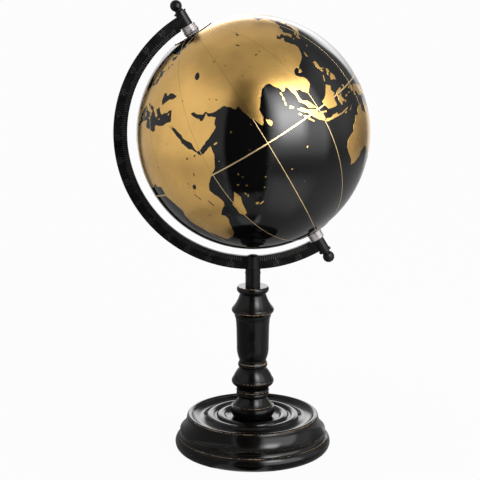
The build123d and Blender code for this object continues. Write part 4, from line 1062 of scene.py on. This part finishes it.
class GLOBE_OT_stage(Operator):
    """Set the floor, the studio light and the camera"""

    bl_idname = "desk_globe.stage"
    bl_label = "Set Stage"

    def execute(self, context):
        scene = context.scene
        settings = scene.desk_globe.stage
        scene.view_settings.view_transform = "Standard"
        self.floor()
        self.studio(scene, settings)
        self.flag()
        self.soft_box(settings)
        self.back_panel(scene, settings)
        camera = bpy.data.objects.new("camera", bpy.data.cameras.new("camera"))
        camera.location = settings.camera_place
        camera.rotation_euler = (math.pi / 2 - settings.camera_pitch, 0, 0)
        camera.data.lens = settings.camera_lens
        scene.collection.objects.link(camera)
        scene.camera = camera
        return {"FINISHED"}

    def floor(self):
        """White floor, which in gloss fades into the walls and leaves a gap before the camera. Its colour holds painted
        shade round the base and a painted pool of light at the right front.
        """
        _, wires = self.flat_piece("floor", 9.0, 9.0)
        path = wires.add("ShaderNodeLightPath").outputs
        place = wires.place()
        parts = wires.axes(place)
        seen = wires.times(path["Is Camera Ray"], 0.96)
        seen = wires.math("MAXIMUM", seen, wires.times(path["Is Transmission Ray"], 0.9))
        bearing = wires.math("ARCTAN2", parts["X"], wires.times(parts["Y"], -1.0))
        away = wires.vector("LENGTH", "Value", place)
        # Painted pool of light on the floor at the right front.
        painted_light_pool = wires.times(
            wires.window(bearing, degrees(6, 26), degrees(72, 48)), wires.window(away, (0.1, 0.24), (0.6, 0.36))
        )
        # Floor colour with painted shade, darker near the base, plus the painted pool of light.
        tone = wires.math("ADD", wires.spread(away, 0.08, 0.34, 0.3, 0.52), wires.times(painted_light_pool, 0.45))
        painted_light_floor = wires.add("ShaderNodeBsdfDiffuse", {"Color": tone}).outputs[0]
        sheet = wires.add("ShaderNodeMixShader", {0: seen, 1: painted_light_floor, 2: wires.glow(1.0)}).outputs[0]
        ragged = wires.spread(wires.noise(place, 9.0, detail=3.0), 0.3, 0.7, -0.05, 0.05)
        gap = wires.window(wires.math("ADD", bearing, ragged), degrees(-32, -26), degrees(17, 11))
        far = wires.spread(wires.math("ADD", away, ragged), 0.22, 0.3)
        gap = wires.times(gap, wires.math("MAXIMUM", far, wires.spread(away, 0.15, 0.11)))
        fade = wires.times(wires.math("MAXIMUM", gap, wires.spread(away, 0.6, 1.6)), path["Is Glossy Ray"])
        clear = wires.add("ShaderNodeBsdfTransparent").outputs[0]
        wires.surface(wires.add("ShaderNodeMixShader", {0: fade, 1: sheet, 2: clear}).outputs[0])

    def soft_box(self, settings):
        """Tall light at the right, brightest in its middle, that shines to its front only."""
        place, half_width, half_height = Vector((0.25, -0.37, 0.46)), 0.16, 0.32
        box, wires = self.flat_piece("soft_box", half_width, half_height)
        box.location = place
        box.rotation_euler = (BALL_CENTRE - place).to_track_quat("Z", "Y").to_euler()
        parts = wires.axes(wires.place())
        across = wires.spread(wires.math("ABSOLUTE", parts["X"]), half_width, 0.05)
        along = wires.spread(wires.math("ABSOLUTE", parts["Y"]), half_height, 0.0)
        level = wires.times(wires.times(along, along), wires.times(across, settings.key_light))
        front = wires.math("SUBTRACT", 1.0, wires.add("ShaderNodeNewGeometry").outputs["Backfacing"])
        clear = wires.add("ShaderNodeBsdfTransparent").outputs[0]
        light = wires.glow(wires.times(level, front))
        wires.surface(wires.add("ShaderNodeAddShader", {0: light, 1: clear}).outputs[0])
        box.visible_camera = box.visible_transmission = box.visible_shadow = False

    def flag(self):
        """Low grey screen round the left of the base, seen in gloss only."""
        start, sweep, radius, height = math.radians(-28), math.radians(-112), 0.15, 0.1
        bm = bmesh.new()
        foot = bm.verts.new(Matrix.Rotation(start, 3, "Z") @ Vector((0, -radius, 0)))
        post = bm.edges.new((foot, bm.verts.new(foot.co + Vector((0, 0, height)))))
        bmesh.ops.spin(bm, geom=[*post.verts, post], cent=(0, 0, 0), axis=(0, 0, 1), angle=sweep, steps=14)
        screen, wires = self.stage_piece(bm, "flag")
        wires.surface(wires.glow(0.28))
        screen.visible_camera = screen.visible_diffuse = screen.visible_transmission = screen.visible_shadow = False

    def flat_piece(self, name, half_width, half_depth):
        bm = bmesh.new()
        size = Matrix.Diagonal((half_width, half_depth, 1, 1))
        bmesh.ops.create_grid(bm, x_segments=1, y_segments=1, size=1, matrix=size)
        return self.stage_piece(bm, name)

    def stage_piece(self, bm, name):
        """Piece of the stage, and the empty wiring of its material."""
        material = bpy.data.materials.new(name)
        material.use_nodes = True
        piece = new_object(bm, name, material)
        return piece, Wiring(material.node_tree)

    def studio(self, scene, settings):
        """Pale room with a dark opening round the camera, a bright patch behind and a dimmer ceiling."""
        world = bpy.data.worlds.new("studio")
        world.use_nodes = True
        scene.world = world
        wires = Wiring(world.node_tree)
        parts = wires.axes(wires.add("ShaderNodeTexCoord").outputs["Generated"])
        bearing = wires.math("ARCTAN2", parts["X"], wires.times(parts["Y"], -1.0))
        behind = wires.math("ARCTAN2", parts["X"], parts["Y"])
        left = wires.times(
            wires.spread(bearing, *degrees(-26, -31), 0.01, settings.left_wall),
            wires.spread(bearing, *degrees(-70, -125), 1.0, 0.7),
        )
        right = wires.times(
            wires.spread(bearing, *degrees(12, 20), 0.0, settings.right_wall),
            wires.spread(bearing, *degrees(82, 72), 0.25, 1.0),
            wires.spread(parts["Z"], -0.3, 0.16, 0.35, 1.0),
            wires.spread(parts["Y"], 0.1, 0.6, 1.0, 0.3),
        )
        back = wires.times(
            wires.window(behind, degrees(-24, -12), degrees(32, 26)),
            wires.spread(parts["Z"], 0.03, 0.3, 0.8, 3.0),
            wires.spread(parts["Z"], 0.5, 0.35),
        )
        walls = wires.math("ADD", wires.math("ADD", left, right), back)
        opening = wires.window(bearing, degrees(-31, -26), degrees(20, 12))
        height = wires.math("SUBTRACT", parts["Z"], wires.times(opening, 0.13))
        room = wires.blend(wires.spread(height, 0.64, 0.82), walls, settings.ceiling)
        level = wires.blend(wires.add("ShaderNodeLightPath").outputs["Is Camera Ray"], room, 1.0)
        light = wires.add("ShaderNodeBackground", {"Color": WHITE, "Strength": level})
        wires.add("ShaderNodeOutputWorld", {"Surface": light.outputs[0]})

    def back_panel(self, scene, settings):
        """Wide lamp above and behind, turned to the ball."""
        place, width, height = Vector((-0.08, 0.36, 1.02)), 0.6, 0.4
        data = bpy.data.lights.new("back_panel", "AREA")
        data.shape = "RECTANGLE"
        data.size, data.size_y = width, height
        data.energy = settings.back_light * math.pi * width * height
        lamp = bpy.data.objects.new("back_panel", data)
        lamp.location = place
        lamp.rotation_euler = (BALL_CENTRE - place).to_track_quat("-Z", "Y").to_euler()
        lamp.visible_camera = lamp.visible_transmission = False
        scene.collection.objects.link(lamp)


class GLOBE_PT_panel(Panel):
    bl_label = "Desk Globe"
    bl_idname = "GLOBE_PT_panel"
    bl_space_type = "VIEW_3D"
    bl_region_type = "UI"
    bl_category = "Desk Globe"

    def draw(self, context):
        settings = context.scene.desk_globe
        for group in (settings.map, settings.scale, settings.cap, settings.ring, settings.finish, settings.stage):
            box = self.layout.box()
            for key in group.__annotations__:
                box.prop(group, key)
        for step in STEPS:
            self.layout.operator(step.bl_idname)


STEPS = (
    GLOBE_OT_ball, GLOBE_OT_land, GLOBE_OT_lines, GLOBE_OT_scale, GLOBE_OT_caps, GLOBE_OT_ring, GLOBE_OT_finishes,
    GLOBE_OT_stage,
)
CLASSES = (
    MapSettings, ScaleSettings, CapSettings, RingSettings, FinishSettings, StageSettings, GlobeSettings, *STEPS,
    GLOBE_PT_panel,
)


def register():
    for cls in CLASSES:
        bpy.utils.register_class(cls)
    bpy.types.Scene.desk_globe = PointerProperty(type=GlobeSettings)


def unregister():
    del bpy.types.Scene.desk_globe
    for cls in reversed(CLASSES):
        bpy.utils.unregister_class(cls)


def main():
    register()
    bpy.ops.desk_globe.ball()
    bpy.ops.desk_globe.land()
    bpy.ops.desk_globe.lines()
    bpy.ops.desk_globe.scale()
    bpy.ops.desk_globe.caps()
    bpy.ops.desk_globe.ring()
    bpy.ops.desk_globe.finishes()
    bpy.ops.desk_globe.stage()


if __name__ == "__main__":
    main()
